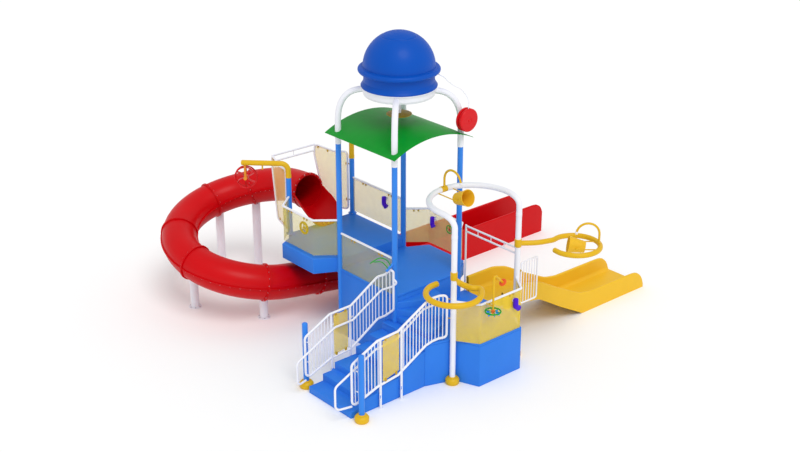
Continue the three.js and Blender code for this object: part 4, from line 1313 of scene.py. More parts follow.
@dataclass
class Guard:
    """A white rail over a sheet bent along a plan line, held by clips in pairs."""

    name: str
    node: str
    line: Sequence[Pair]
    foot: float
    top: float
    rail: float = 0.025
    sheet: float = 0.01
    tint: ClearSheet = GUARD_YELLOW
    bend: float = 0.06
    lug: float = 0.016

    def build(self) -> None:
        """Makes the rail, the sheet and the clips."""
        corners = [Vector((x, y, self.top)) for x, y in self.line]
        rail = Form.pipe(rounded(corners, self.bend, 8), self.rail, 18)
        rail.piece(f"{self.name}_rail", WHITE)
        plan = [Vector((p.x, p.y, 0)) for p in rounded(corners, self.bend, 8)]
        sheet = Form.slab(strip(plan, self.sheet), self.foot, self.top - 0.03).softened(0.002, 2)
        sheet.piece(f"{self.name}_sheet", self.tint, (self.node,))
        clips = Form()
        for start, end in zip(corners, corners[1:]):
            way = end - start
            count = 2 if way.length > 0.9 else 1
            for k in range(count):
                middle = start + way * (k + 0.5) / count
                for shift in (-0.05, 0.05):
                    seat = framed(middle + way.normalized() * shift, way, UP)
                    clip = Form.block((-self.lug, -0.013, -0.075), (self.lug, 0.013, -0.012))
                    clips.add(clip.moved(seat))
        clips.piece(f"{self.name}_clips", CLIP_PAINTED_SHADE)


@dataclass
class Roof:
    """The arched green roof sheet."""

    z: float = 4.73
    rise: float = 0.262
    x0: float = -0.17
    x1: float = 2.01
    y0: float = -0.2
    y1: float = 2.07
    sheet: float = 0.012

    def arch(self, lift: float = 0.0, steps: int = 40) -> list[Vector]:
        """The arch seen from the front.

        Args:
            lift: Height added to it.
            steps: Steps across.

        Returns:
            Its points in X and Z.
        """
        half = (self.x1 - self.x0) / 2
        radius = (half * half + self.rise * self.rise) / (2 * self.rise)
        middle = self.x0 + half
        spread = math.asin(half / radius)
        leans = [spread * (2 * k / steps - 1) for k in range(steps + 1)]
        drop = self.z + self.rise - radius + lift
        return [spot(middle + radius * math.sin(a), drop + radius * math.cos(a)) for a in leans]

    def build(self) -> None:
        """Makes the sheet."""
        outline = [(p.x, p.z) for p in (*self.arch(), *reversed(self.arch(self.sheet)))]
        form = Form.upright(outline, self.y0, self.y1).softened(0.003, 2)
        form.piece("roof_panel", ROOF_GREEN, ("roof_sheet",))


@dataclass
class Dome:
    """The blue dome on its bowl and white frame, with the disc under it."""

    plan: Plan
    leg: float = 0.066
    foot: float = 4.5203
    ring_z: float = 5.65
    ring_h: float = 0.185
    ring_r: float = 0.762
    waist: float = 0.742
    lip: float = 0.806
    seam: float = 6.14
    band_r: float = 0.863
    band_h: float = 0.11
    shell_r: float = 0.76
    top: float = 7.0
    curve: float = 0.75
    steps: int = 128
    groove_r: float = 0.37
    groove_depth: float = 0.012
    groove_spread: float = 1.1
    disc_z: float = 5.205
    disc_r: float = 0.27
    stem_r: float = 0.042

    @property
    def middle(self) -> Vector:
        """Where the dome's axis meets the ground."""
        return self.plan.at(0.5, 0.5)

    def build(self) -> None:
        """Makes the frame, the bowl, the cap and the spray disc."""
        self.frame()
        self.bowl()
        self.cap()
        self.disc()

    def frame(self) -> None:
        """Makes the rimmed ring and its four bent legs."""
        top = self.ring_z + self.ring_h
        inner = self.ring_r - 0.11
        rim = self.lip - 0.008
        section = spots(
            (inner, self.ring_z + 0.01), (self.ring_r - 0.02, self.ring_z),
            (self.ring_r, self.ring_z + 0.05), (self.ring_r, top - 0.025), (rim, top - 0.02),
            (rim, top), (inner, top),
        )
        form = Form.collar(section, 0.012, 5, self.steps).shifted(self.middle)
        z = self.ring_z + self.ring_h / 2
        for across, along in self.plan.corners.values():
            foot = self.plan.at(across, along, self.foot)
            knee = self.plan.at(across, along, z)
            way = (self.middle - self.plan.at(across, along)).normalized()
            end = self.middle - way * (self.ring_r - 0.04) + UP * z
            start = knee - UP * self.curve
            handles = (start.lerp(knee, 2 / 3), end.lerp(knee, 2 / 3))
            route = [foot, *geometry.interpolate_bezier(start, *handles, end, 33)]
            form.add(Form.pipe(route, self.leg, TUBE_SIDES))
        form.piece("dome_legs_and_ring", WHITE, ("dome_frame",))

    def bowl(self) -> None:
        """Makes the bowl's flared lip and its waist."""
        base = self.ring_z + self.ring_h + SEAT
        corners = spots(
            (0, base), (self.lip - 0.012, base), (self.lip, base + 0.02),
            (self.lip - 0.03, base + 0.062), (self.waist + 0.004, base + 0.12),
            (self.waist, self.seam), (0, self.seam),
        )
        form = Form.turned(rounded(corners, 0.012, 6), self.steps).shifted(self.middle)
        form.piece("dome_bowl_shell", DOME_BLUE, ("dome_bowl",))

    def cap(self) -> None:
        """Makes the rounded band and the dome over it, with a shallow ring groove near the top."""
        base = self.seam + SEAT
        half = self.band_h / 2
        profile = spots((0, base), (self.waist, base))
        steps = 16
        for k in range(steps + 1):
            a = math.pi * (k / steps - 0.5)
            profile.append(spot(self.band_r - half + half * math.cos(a), base + half + half * math.sin(a)))
        profile.append(spot(self.shell_r + 0.012, base + self.band_h))
        shell_z = self.top - self.shell_r
        groove = math.degrees(math.acos(self.groove_r / self.shell_r))
        first = math.degrees(math.asin((base + self.band_h + 0.008 - shell_z) / self.shell_r))
        steps = 96
        for k in range(steps + 1):
            degrees = first + (90 - first) * k / steps
            a = math.radians(degrees)
            dent = self.groove_depth * math.exp(-(((degrees - groove) / self.groove_spread) ** 2))
            radius = self.shell_r - dent
            profile.append(spot(radius * math.cos(a), shell_z + radius * math.sin(a)))
        profile[-1].x = 0.0
        form = Form.turned(profile, self.steps).shifted(self.middle)
        form.piece("dome_cap_shell", DOME_BLUE, ("dome_cap",))

    def disc(self) -> None:
        """Makes the disc on its pipe under the ring."""
        z, r = self.disc_z, self.disc_r
        corners = spots(
            (0, z), (r - 0.03, z), (r, z + 0.006), (r, z + 0.014), (0.05, z + 0.034),
            (0, z + 0.034),
        )
        disc = Form.turned(rounded(corners, 0.004, 4), 64).shifted(self.middle)
        # The disc under the ring takes the olive copy of the yellow powder coat: painted shade.
        disc.piece("spray_disc_plate", CLIP_PAINTED_SHADE, ("spray_disc",))
        stem = Form.drum(self.stem_r, z + 0.03, self.ring_z + self.ring_h).shifted(self.middle)
        stem.piece("spray_disc_stem", WHITE)


@dataclass
class Bell:
    """The red double disc on the right leg, and the thin pipe that feeds it."""

    plan: Plan
    z: float = 5.16
    radius: float = 0.25
    pipe: float = 0.01
    front: float = -0.0663
    bend_y: float = -0.224
    outlet: Pair = (6.11, 0.73)
    stops: tuple[tuple[float, float, float], ...] = (
        (1.577, 0.253, 6.025), (1.629, 0.201, 5.95), (1.723, 0.107, 5.85), (1.81, 0.04, 5.795),
        (1.87, -0.01, 5.725), (1.9, -0.095, 5.63), (1.89, -0.17, 5.53),
    )

    def build(self) -> None:
        """Makes the bell and its pipe."""
        r = self.radius
        corners = spots(
            (0, 0), (0.07, 0), (0.07, 0.024), (r - 0.02, 0.03), (r, 0.045),
            (r, 0.078), (r - 0.045, 0.09), (r - 0.045, 0.118), (r, 0.13), (r, 0.178),
            (r - 0.02, 0.196), (0.07, 0.2), (0.06, 0.192), (0.03, 0.192), (0.022, 0.206),
            (0, 0.208),
        )
        profile = rounded(corners, 0.008, 5)
        seat = framed(Vector((self.plan.module, self.front, self.z)), Vector((1, 0, 0)), Vector((0, -1, 0)))
        Form.turned(profile, 96).moved(seat).piece("bell_disc", WHEEL_RED, ("bell",))
        out = Vector((1, -1, 0)).normalized()
        height, off = self.outlet
        start = self.plan.at(0.5, 0.5, height) + out * off
        rim = Vector((self.plan.module, self.bend_y, self.z + r))
        feed = [start, start + out * 0.04, *map(Vector, self.stops), rim + UP * 0.05, rim - UP * 0.01]
        Form.pipe(flowing(feed), self.pipe, 12).piece("bell_feed_pipe", WHITE, ("bell_pipe",))


@dataclass
class Hoop:
    """The tall white hoop over the low platform, on two yellow cups."""

    x: float = 1.25
    y: float = -1.03
    radius: float = 0.915
    z: float = 3.74
    foot_x: float = 0.334
    foot_y: float = -1.456
    tube: float = 0.062
    bend: float = 0.22
    seam: Pair = (3.3, 3.38)

    @property
    def feet(self) -> dict[str, Vector]:
        """Where its two poles stand."""
        places = {"near": self.foot_x, "slide": 2 * self.x - self.foot_x}
        return {side: Vector((x, self.foot_y, 0)) for side, x in places.items()}

    def route(self) -> list[Vector]:
        """Draws the hoop's centre line.

        Returns:
            Its points from foot to foot.
        """
        corner = Vector((self.foot_x, self.foot_y, self.z))
        start = corner - UP * self.bend
        end = Vector((self.foot_x, self.y, self.z))
        handles = [start.lerp(corner, 2 / 3), end.lerp(corner, 2 / 3)]
        rise = geometry.interpolate_bezier(start, *handles, end, 17)
        climb = [Vector((self.foot_x, self.foot_y, 0.01)), *rise]
        bow = arc(Vector((self.x, self.y, self.z)), self.radius, 180, 0, 60)[1:-1]
        fall = [Vector((2 * self.x - p.x, p.y, p.z)) for p in reversed(climb)]
        return [*climb, *bow, *fall]

    def build(self) -> None:
        """Makes the hoop, its coupling sleeves and its cups."""
        form = Form.pipe(self.route(), self.tube, TUBE_SIDES)
        for foot in self.feet.values():
            form.add(Form.drum(self.tube + 0.003, *self.seam, TUBE_SIDES, 0.0025, 3).shifted(foot))
        form.piece("hoop_tube", WHITE, ("hoop",))
        for side, foot in self.feet.items():
            FootCup().form(foot.x, foot.y, self.tube).piece(f"hoop_cup_{side}", PIPE_YELLOW)


@dataclass
class TippingBucket:
    """A bucket on two pins in a fork, with the bent pipe that fills it."""

    node: str
    pivot: Vector
    turn: float
    tilt: float
    reach: float
    mouth: float = 0.178
    base: float = 0.122
    wall: float = 0.008
    length: float = 0.36
    hang: float = 0.2
    arm: float = 0.013
    span: float = 0.21
    pin: float = 0.008
    lift: float = 0.265
    feed: float = 0.024
    share: float = 0.87
    inset: float = 0.03
    knob_r: float = 0.022
    knob_half: float = 0.018

    @property
    def seat(self) -> Matrix:
        """The fork's frame: -X runs from the pivot to the tube that carries it."""
        return Matrix.Translation(self.pivot) @ Matrix.Rotation(self.turn, 4, "Z")

    def flank(self, z: float, out: float = 0.0) -> Vector:
        """Returns a point of the sloping side at a height over the base, or so far off the side."""
        return spot(self.base + (self.mouth - self.base) * z / self.length + out, z)

    def bucket(self) -> None:
        """Makes the bucket with its rolled rim and foot ring."""
        corners = [
            spot(0, 0.006), spot(self.base - 0.02, 0.006), spot(self.base - 0.014, 0), spot(self.base, 0),
            self.flank(0.02), self.flank(0.05), self.flank(0.055, 0.003), self.flank(0.075, 0.003),
            self.flank(0.08), self.flank(0.3),
            spot(self.mouth - 0.002, self.length - 0.016), spot(self.mouth + 0.004, self.length - 0.012),
            spot(self.mouth + 0.004, self.length), spot(self.mouth - self.wall, self.length),
            spot(self.base - self.wall, self.wall + 0.02), spot(self.base - 0.03, self.wall + 0.006),
            spot(0, self.wall + 0.006),
        ]
        lean = Matrix.Rotation(math.pi / 2 - self.tilt, 4, "Y") @ Matrix.Translation((0, 0, -self.hang))
        form = Form.turned(rounded(corners, 0.004, 4), 80).moved(self.seat @ lean)
        form.piece(f"{self.node}_shell", SLIDE_YELLOW, (self.node,), body=self.node)

    def fork(self) -> Form:
        """The fork's arms, pins and filling pipe, in its own frame.

        Returns:
            The fork.
        """
        share = (self.hang + self.pin) / self.length
        side = self.base + (self.mouth - self.base) * share
        form = Form()
        bend = [Vector((0.02, -self.span, 0)), Vector((-self.reach, -self.span, 0))]
        bend += [Vector((-self.reach, self.span, 0)), Vector((0.02, self.span, 0))]
        form.add(Form.pipe(rounded(bend, 0.03, 6), self.arm, 16, ends=End.ROUND))
        for way in (-1, 1):
            start = Vector((0, way * self.span, 0))
            form.add(bar(start, Vector((0, way * (side + 0.0005), 0)), self.pin, 16))
            knob = Form.drum(self.knob_r, -self.knob_half, self.knob_half, 24, 0.006)
            form.add(knob.moved(framed(start, UP, Vector((0, 1, 0)))))
        root, bow = self.inset - self.reach, self.bow
        top = [Vector((root, 0, 0))]
        steps = 24
        for k in range(steps + 1):
            a = math.pi * (1 - k / steps)
            top.append(Vector((root + bow + bow * math.cos(a), 0, self.lift + bow * math.sin(a))))
        form.add(Form.pipe(top, self.feed, 20))
        self.nozzle()
        return form.moved(self.seat)

    @property
    def bow(self) -> float:
        """The radius of the filling pipe's arch."""
        return (self.reach - self.inset) / 2 * self.share

    def nozzle(self) -> None:
        """Makes the white nozzle on the end of the filling pipe."""
        end = Vector((self.inset - self.reach + 2 * self.bow, 0, self.lift + 0.015))
        corners = spots((0, -0.02), (0.031, -0.02), (0.031, 0.03), (0.026, 0.04), (0, 0.04))
        form = Form.turned(rounded(corners, 0.005, 4), 32).moved(self.seat @ Matrix.Translation(end))
        form.piece(f"{self.node}_nozzle", WHITE)


@dataclass
class Rings:
    """The fork on the hoop's crown and the half-open yellow rings on its poles, with their buckets."""

    hoop: Hoop
    coupling: float = 0.067
    bucket_y: float = -0.72
    bucket_z: float = 3.715
    right_centre: Vector = Vector((3.04, -2.28, 2.65))
    right_r: float = 0.52
    right_tube: float = 0.056
    right_turn: float = math.radians(-42.6)
    left_r: float = 0.57
    left_z: float = 2.088
    left_tube: float = 0.063

    def build(self) -> None:
        """Makes both rings, the forks and the buckets."""
        hoop = self.hoop
        pivot = Vector((hoop.x, self.bucket_y, self.bucket_z))
        reach = hoop.y + hoop.radius - pivot.y
        bucket = TippingBucket("hoop_bucket", pivot, -math.pi / 2, math.radians(19), reach)
        bucket.bucket()
        crown = arc(Vector((hoop.x, hoop.y, hoop.z)), hoop.radius, 85, 95, 6)
        fork = bucket.fork().add(Form.pipe(crown, self.coupling, 40))
        fork.piece("hoop_bucket_fork", PIPE_YELLOW, ("hoop_fork",))
        self.right_ring()
        self.left_ring()

    def clamp(self, at: Vector, low: float, high: float) -> Form:
        """Makes the clamp of a ring round its pole, between two heights."""
        r = self.hoop.tube + 0.012
        return Form.drum(r, low, high, 40, 0.01, 4).shifted(at)

    def right_ring(self) -> None:
        """Makes the ring beside the open slide."""
        pole = self.hoop.feet["slide"]
        centre = self.right_centre
        lead = [
            pole + UP * (centre.z + 0.04), pole + Vector((0.13, -0.02, centre.z)),
            pole + Vector((0.38, -0.2, centre.z)), pole + Vector((0.62, -0.29, centre.z)),
        ]
        bow = arc(centre, self.right_r, 105, -195, 15)
        ring = Form.pipe(flowing([*lead, *bow], 6), self.right_tube, 32, ends=End.ROUND)
        ring.add(self.clamp(pole, centre.z - 0.05, centre.z + 0.13))
        bucket = TippingBucket(
            "ring_bucket", centre, self.right_turn + math.pi, math.radians(10), self.right_r, share=0.98
        )
        bucket.bucket()
        ring.add(bucket.fork()).piece("ring_beside_slide", PIPE_YELLOW, ("ring_right",))

    def left_ring(self) -> None:
        """Makes the ring that winds down from the near pole."""
        pole = self.hoop.feet["near"]
        falls = (
            (0, 0, 2.52), (0, 0, 2.47), (0.03, -0.005, 2.39), (0.13, -0.015, 2.3), (0.27, -0.045, 2.2),
            (0.41, -0.095, 2.12),
        )
        lead = [pole + Vector(step) for step in falls]
        for k in range(12):
            degrees = -24 - 23 * k
            settle = min(1.0, 23 * k / 60)
            a = math.radians(degrees)
            height = self.left_z + 0.03 * (1.0 - settle)
            lead.append(pole + Vector((self.left_r * math.cos(a), self.left_r * math.sin(a), height)))
        ring = Form.pipe(flowing(lead, 6), self.left_tube, 32, ends=End.ROUND)
        ring.add(self.clamp(pole, 2.4, 2.58)).piece("ring_by_stairs", PIPE_YELLOW, ("ring_left",))


@dataclass
class TubeSlide:
    """The red tube slide: flanged half shells round three quarters of a loop, on four columns."""

    x: float = 0.95
    y: float = 4.78
    loop: float = 1.48
    radius: float = 0.4
    wall: float = 0.022
    levels: tuple[float, ...] = (2.46, 2.44, 0.9, 0.445)
    mouth_y: float = 4.2
    end_x: float = 2.3
    sides: int = 56
    flange: float = 0.432
    rib: float = 0.03
    ease: float = 0.4
    joints: tuple[float, float] = (140.5, 252.0)
    flanges: tuple[float, ...] = (45.0, 85.5, 140.5, 187.0, 252.0)
    last_flange_x: float = 0.415
    seats: tuple[Pair, ...] = ((43, 1.48), (78, 1.48), (166, 1.273), (254, 1.23))
    column: float = 0.1
    foot: Pair = (0.15, 0.016)
    scoop_rows: tuple[tuple[float, ...], ...] = (
        (0.002, 0.018, 92, 1), (0.16, 0.04, 80, 1), (0.43, 0.115, 62, 0), (0.73, 0.165, 44, 0),
    )
    scoop_floor: float = 1.8303

    @property
    def middle_x(self) -> float:
        """Where the loop's centre lies along X."""
        return self.x - self.loop

    @property
    def lead(self) -> float:
        """The straight length before the loop."""
        return self.y - self.mouth_y

    @property
    def bow(self) -> float:
        """The loop's length in plan."""
        return 1.5 * math.pi * self.loop

    @property
    def length(self) -> float:
        """The whole length in plan."""
        return self.lead + self.bow + self.end_x - self.middle_x

    def along(self, degrees: float) -> float:
        """Returns the distance from the mouth at an angle of the loop."""
        return self.lead + math.radians(degrees) * self.loop

    def level(self, distance: float) -> float:
        """The height of the tube's middle at a distance, with its three slopes eased into each other.

        Args:
            distance: Metres in plan from the mouth.

        Returns:
            The height.
        """
        marks = (0.0, self.lead, self.lead + self.bow, self.length)
        total, count = 0.0, 9
        reach = min(self.ease, max(distance, 0.0), max(self.length - distance, 0.0))
        for k in range(count):
            here = distance + reach * (2 * k / (count - 1) - 1)
            i = 0 if here < marks[1] else 1 if here < marks[2] else 2
            share = (here - marks[i]) / (marks[i + 1] - marks[i])
            total += self.levels[i] + (self.levels[i + 1] - self.levels[i]) * share
        return total / count

    def frame(self, distance: float) -> Matrix:
        """The tube's frame at a distance: X to the outside of the loop, Y up and Z along the tube.

        Args:
            distance: Metres in plan from the mouth.

        Returns:
            The frame.
        """
        ahead, behind = self.level(distance + 0.01), self.level(distance - 0.01)
        z, fall = (ahead + behind) / 2, (ahead - behind) / 0.02
        if distance < self.lead:
            at, way = Vector((self.x, self.mouth_y + distance, z)), Vector((0, 1, 0))
        elif distance < self.lead + self.bow:
            a = (distance - self.lead) / self.loop
            at = Vector((self.middle_x + self.loop * math.cos(a), self.y + self.loop * math.sin(a), z))
            way = Vector((-math.sin(a), math.cos(a), 0))
        else:
            rest = distance - self.lead - self.bow
            at, way = Vector((self.middle_x + rest, self.y - self.loop, z)), Vector((1, 0, 0))
        return framed(at, way.cross(UP), way + UP * fall)

    def frames(self, first: float, last: float, step: float = 0.1) -> list[Matrix]:
        """Returns evenly spaced frames between two distances."""
        count = math.ceil((last - first) / step)
        return [self.frame(first + (last - first) * k / count) for k in range(count + 1)]

    def underside(self, x: float, y: float) -> float:
        """The height of the tube's underside over a plan point.

        Args:
            x, y: The point, somewhere under the loop.

        Returns:
            The height.
        """
        dx, dy = x - self.middle_x, y - self.y
        off = math.hypot(dx, dy) - self.loop
        z = self.frame(self.lead + (math.atan2(dy, dx) % math.tau) * self.loop).translation.z
        return z - math.sqrt(max(self.radius ** 2 - off ** 2, 0.0))

    def build(self) -> None:
        """Makes the shells, the flanges with their bolts, the columns and the entry scoop."""
        marks = [0.0, *(self.along(degrees) for degrees in self.joints), self.length]
        for part, first, last in zip(("upper", "middle", "lower"), marks, marks[1:]):
            form = Form.swept(circle(self.radius, self.sides), self.frames(first, last), ends=End.OPEN)
            bmesh.ops.solidify(form.mesh, geom=form.mesh.faces[:], thickness=self.wall)
            self.ribs(form, first, last)
            form.piece(f"tube_shell_{part}", TUBE_RED, (f"tube_slide_{part}",))
        self.collars()
        self.scoop()
        self.columns()

    def ribs(self, form: Form, first: float, last: float) -> None:
        """Adds the flanges along both sides where the half shells meet.

        Args:
            form: The shell that takes them in.
            first, last: The distances from the mouth between which they run.
        """
        root, tip = self.radius - 0.006, self.radius + self.rib
        corners = (
            (root, -0.014), (tip, -0.012), (tip, -0.002), (tip - 0.005, 0), (tip, 0.002), (tip, 0.012),
            (root, 0.014),
        )
        for way in (-1, 1):
            section = [Vector((way * out, up, 0)) for out, up in corners]
            form.add(Form.swept(section, self.frames(first, last)))

    def collars(self) -> None:
        """Makes the ring flanges and all the bolts."""
        r, out = self.radius - 0.004, self.flange
        section = spots(
            (r, -0.024), (out, -0.022), (out, -0.002), (out - 0.006, 0), (out, 0.002), (out, 0.022),
            (r, 0.024),
        )
        places = [self.along(degrees) for degrees in self.flanges]
        places += [0.03, self.lead + self.bow + self.last_flange_x - self.middle_x, self.length - 0.03]
        collars = Form.collar(section, 0.004, 3, 72).copied(self.frame(place) for place in places)
        collars.piece("tube_flanges", TUBE_RED)
        heads = []
        middle = self.radius + (self.flange - self.radius) * 0.5
        for place in places:
            face = self.frame(place) @ Matrix.Translation((0, 0, -0.022)) @ Matrix.Rotation(math.pi, 4, "X")
            heads += ring_frames(face, middle, 16, math.pi / 16)
        count = 60
        for k in range(1, count):
            frame = self.frame(self.length * k / count)
            for way in (-1, 1):
                seat = Matrix.Translation((way * (self.radius + self.rib * 0.55), 0.012, 0))
                heads.append(frame @ seat @ Matrix.Rotation(-math.pi / 2, 4, "X"))
        bolts(heads, 0.009).piece("tube_bolts", FASTENER)

    def scoop(self) -> None:
        """Makes the open scoop before the tube's mouth."""
        z = self.levels[0]
        fall = (z - self.levels[1]) / self.lead
        keys, spans = [], []
        for back, wider, span, leans in self.scoop_rows:
            keys.append(Vector((self.mouth_y - back, self.radius + wider, z)))
            spans.append(Vector((span, fall * leans, 0)))
        keys[-1].z = self.scoop_floor + keys[-1].y
        rows, steps = [], 48
        for (y, r, z), (span, lean, _) in zip(flowing(keys, 6), flowing(spans, 6)):
            row = []
            for k in range(steps + 1):
                a = math.radians(-90 - span + 2 * span * k / steps)
                rise = r * math.sin(a)
                row.append(Vector((self.x + r * math.cos(a), y + rise * lean, z + rise)))
            rows.append(row)
        form = Form.skinned(rows, self.wall)
        rim = [*(row[0] for row in rows), *rows[-1], *(row[-1] for row in reversed(rows))]
        form.add(Form.pipe(rim, 0.016, 12, ends=End.ROUND))
        form.piece("tube_scoop", TUBE_RED, ("tube_entry",))

    def columns(self) -> None:
        """Makes the four columns, each cut to the tube's underside, with its foot plate."""
        plate_r, plate_h = self.foot
        for i, (degrees, out) in enumerate(self.seats, 1):
            a = math.radians(degrees)
            foot = Vector((self.middle_x + out * math.cos(a), self.y + out * math.sin(a), 0))
            column = bar(foot, foot + UP, self.column, 40)
            for vert in column.mesh.verts:
                if vert.co.z > 0.5:
                    vert.co.z = self.underside(vert.co.x, vert.co.y) + 0.006
            column.add(Form.drum(plate_r, 0, plate_h, 40, 0.003, 2).shifted(foot))
            column.piece(f"tube_column_{i}", WHITE, (f"column_{i}",))
            seats = ring_frames(Matrix.Translation(foot + UP * plate_h), plate_r - 0.028, 6)
            bolts(seats).piece(f"tube_column_{i}_bolts", FASTENER)


def along_line(line: Sequence[Pair], x: float) -> float:
    """Reads the height of a line of points at a place along X.

    Args:
        line: The points, in order of X.
        x: The place.

    Returns:
        The height there.
    """
    for (ax, az), (bx, bz) in zip(line, line[1:]):
        if x <= bx:
            return az + (bz - az) * (x - ax) / (bx - ax)
    return line[-1][1]


def smooth_line(line: Sequence[Pair], radius: float) -> list[Pair]:
    """Rounds the corners of a side line in X and Z."""
    return [(p.x, p.z) for p in rounded(spots(*line), radius, 10)]


@dataclass
class Channel:
    """An open channel: two walls with turned-over rims, a rounded bed, and a side that reaches down."""

    y: float
    half: float
    rim: float
    corner: float
    shell: float = 0.012

    def section(self, x: float, under: float, bed: float, top: float) -> list[Vector]:
        """One cross section.

        Args:
            x: Its place along X.
            under, bed, top: The heights of its lower edge, bed and rim.

        Returns:
            Its points, from one outer edge to the other.
        """
        h, w = self.half, self.rim
        sides = ((-h, under), (-h, top), (w - h, top), (w - h + 0.012, bed), (h - w - 0.012, bed))
        corners = [Vector((x, y, z)) for y, z in sides]
        left = rounded(corners[:3], w * 0.45, 5)[:-1]
        lip = rounded(corners[1:4], w * 0.45, 5)[1:-1]
        curve = rounded(corners[2:], self.corner, 8)[1:-1]
        half = [*left, *lip, *curve]
        other = [Vector((p.x, -p.y, p.z)) for p in reversed(half)]
        return [p + Vector((0, self.y, 0)) for p in (*half, *other)]


@dataclass
class RunOut:
    """The red channel that the tube slide empties into."""

    start: float = 2.24
    end: float = 7.52
    wall_top: float = 0.795
    floor: float = 0.06

    def build(self) -> None:
        """Makes the channel."""
        channel = Channel(y=3.32, half=0.455, rim=0.05, corner=0.09)
        top = smooth_line([
            (self.start, self.wall_top), (self.end - 0.33, self.wall_top), (self.end - 0.19, 0.78),
            (self.end - 0.06, 0.7), (self.end, 0.56),
        ], 0.2)
        rows = [channel.section(x, 0.0, self.floor, z) for x, z in top]
        form = Form.skinned(rows, channel.shell)
        form.piece("run_out_channel_shell", TUBE_RED, ("run_out",))


@dataclass
class OpenSlide:
    """The open yellow slide."""

    start: float = 2.1903
    end: float = 6.94
    steps: int = 90

    def build(self) -> None:
        """Makes the slide's shell."""
        bed = smooth_line([
            (self.start, 0.965), (2.95, 0.95), (3.37, 0.84), (3.7, 0.66), (4.03, 0.48), (4.42, 0.28),
            (4.7, 0.15), (5.07, 0.078), (self.end, 0.07),
        ], 1.2)
        rim = smooth_line([
            (self.start, 1.345), (2.98, 1.34), (3.37, 1.23), (3.7, 1.05), (4.0, 0.88), (4.42, 0.67),
            (4.7, 0.53), (5.07, 0.462), (6.56, 0.45), (6.72, 0.42), (6.87, 0.29), (self.end, 0.09),
        ], 0.9)
        under = smooth_line([
            (self.start, 0.92), (2.95, 0.905), (3.3, 0.85), (3.53, 0.72), (4.03, 0.42), (4.68, 0.07),
            (4.78, 0.0), (self.end, 0.0),
        ], 0.3)
        channel = Channel(y=-0.475, half=0.575, rim=0.05, corner=0.11)
        rows = []
        for k in range(self.steps + 1):
            share = k / self.steps
            x = self.start + (self.end - self.start) * (share if share < 0.9 else 1 - (1 - share) ** 2 / 0.1)
            rows.append(channel.section(x, *(along_line(line, x) for line in (under, bed, rim))))
        Form.skinned(rows, channel.shell).piece("open_slide_shell", SLIDE_YELLOW, ("open_slide",))


@dataclass
class EntryGuards:
    """The two tall loops with sheets beside the tube's mouth, and the double bar between them."""

    plan: Plan
    near_y: float = 3.72
    far_y: float = 4.65
    lean: float = 0.268
    right_x: float = 1.458
    rail: float = 0.024
    outline: tuple[Pair, ...] = (
        (0.07, 1.9), (0.07, 3.35), (0.42, 3.3), (0.95, 3.39), (0.965, 3.12), (0.69, 1.915),
    )
    ties: Pair = (2.15, 3.05)
    lugs: tuple[Pair, ...] = ((0.25, 3.28), (0.6, 3.28), (0.86, 3.33), (0.3, 1.95), (0.55, 1.95))
    bars: tuple[Pair, ...] = ((0.95, 3.38), (0.962, 3.23))

    @property
    def planes(self) -> dict[str, Matrix]:
        """The planes that the guards stand in.

        Returns:
            A frame for each side, at ground level under the guard's post, with X along it and Y up.
        """
        planes = {}
        for side, x0, x1 in (("left", 0.0, self.lean), ("right", self.plan.module, self.right_x)):
            start, end = Vector((x0, self.near_y, 0)), Vector((x1, self.far_y, 0))
            way = (end - start).normalized()
            planes[side] = framed(start, way, way.cross(UP))
        return planes

    def build(self) -> None:
        """Makes both guards and the header."""
        for side, plane in self.planes.items():
            loop = rounded([Vector((u, z, 0)) for u, z in self.outline], 0.08, 8, closed=True)
            route = [plane @ p for p in loop]
            tubes = Form.pipe(route, self.rail, 18, closed=True)
            tubes.piece(f"entry_guard_{side}_tube", WHITE)
            sheet = Form.slab([(p.x, p.y) for p in loop], -0.005, 0.005).softened(0.002, 2)
            # The entry sheets take the paler copy of the yellow sheet: painted backlight.
            sheet.moved(plane).piece(f"entry_guard_{side}_sheet", SHEET_PAINTED_BACKLIGHT, (f"entry_guard_{side}",))
            clips = Form()
            for z in self.ties:
                clips.add(bar(plane @ Vector((-0.06, z, 0)), plane @ Vector((0.07, z, 0)), 0.014, 12))
                lug = Form.block((0.05, z - 0.03, -0.014), (0.12, z + 0.03, 0.014))
                clips.add(lug.moved(plane))
            for u, z in self.lugs:
                lug = Form.block((u - 0.016, z - 0.03, -0.013), (u + 0.016, z + 0.03, 0.013))
                clips.add(lug.moved(plane))
            clips.piece(f"entry_guard_{side}_clips", CLIP_PAINTED_SHADE)
        self.header()

    def header(self) -> None:
        """Makes the two bars between the guards."""
        left, right = self.planes.values()
        header = Form()
        ends = []
        for u, z in self.bars:
            pair = (left @ Vector((u, z, 0)), right @ Vector((u, z, 0)))
            header.add(bar(*pair, self.rail - 0.002, 16))
            ends.append(pair)
        middles = [start.lerp(end, 0.5) for start, end in ends]
        header.add(bar(*middles, 0.009, 10))
        header.piece("entry_header_bars", WHITE, ("entry_header",))


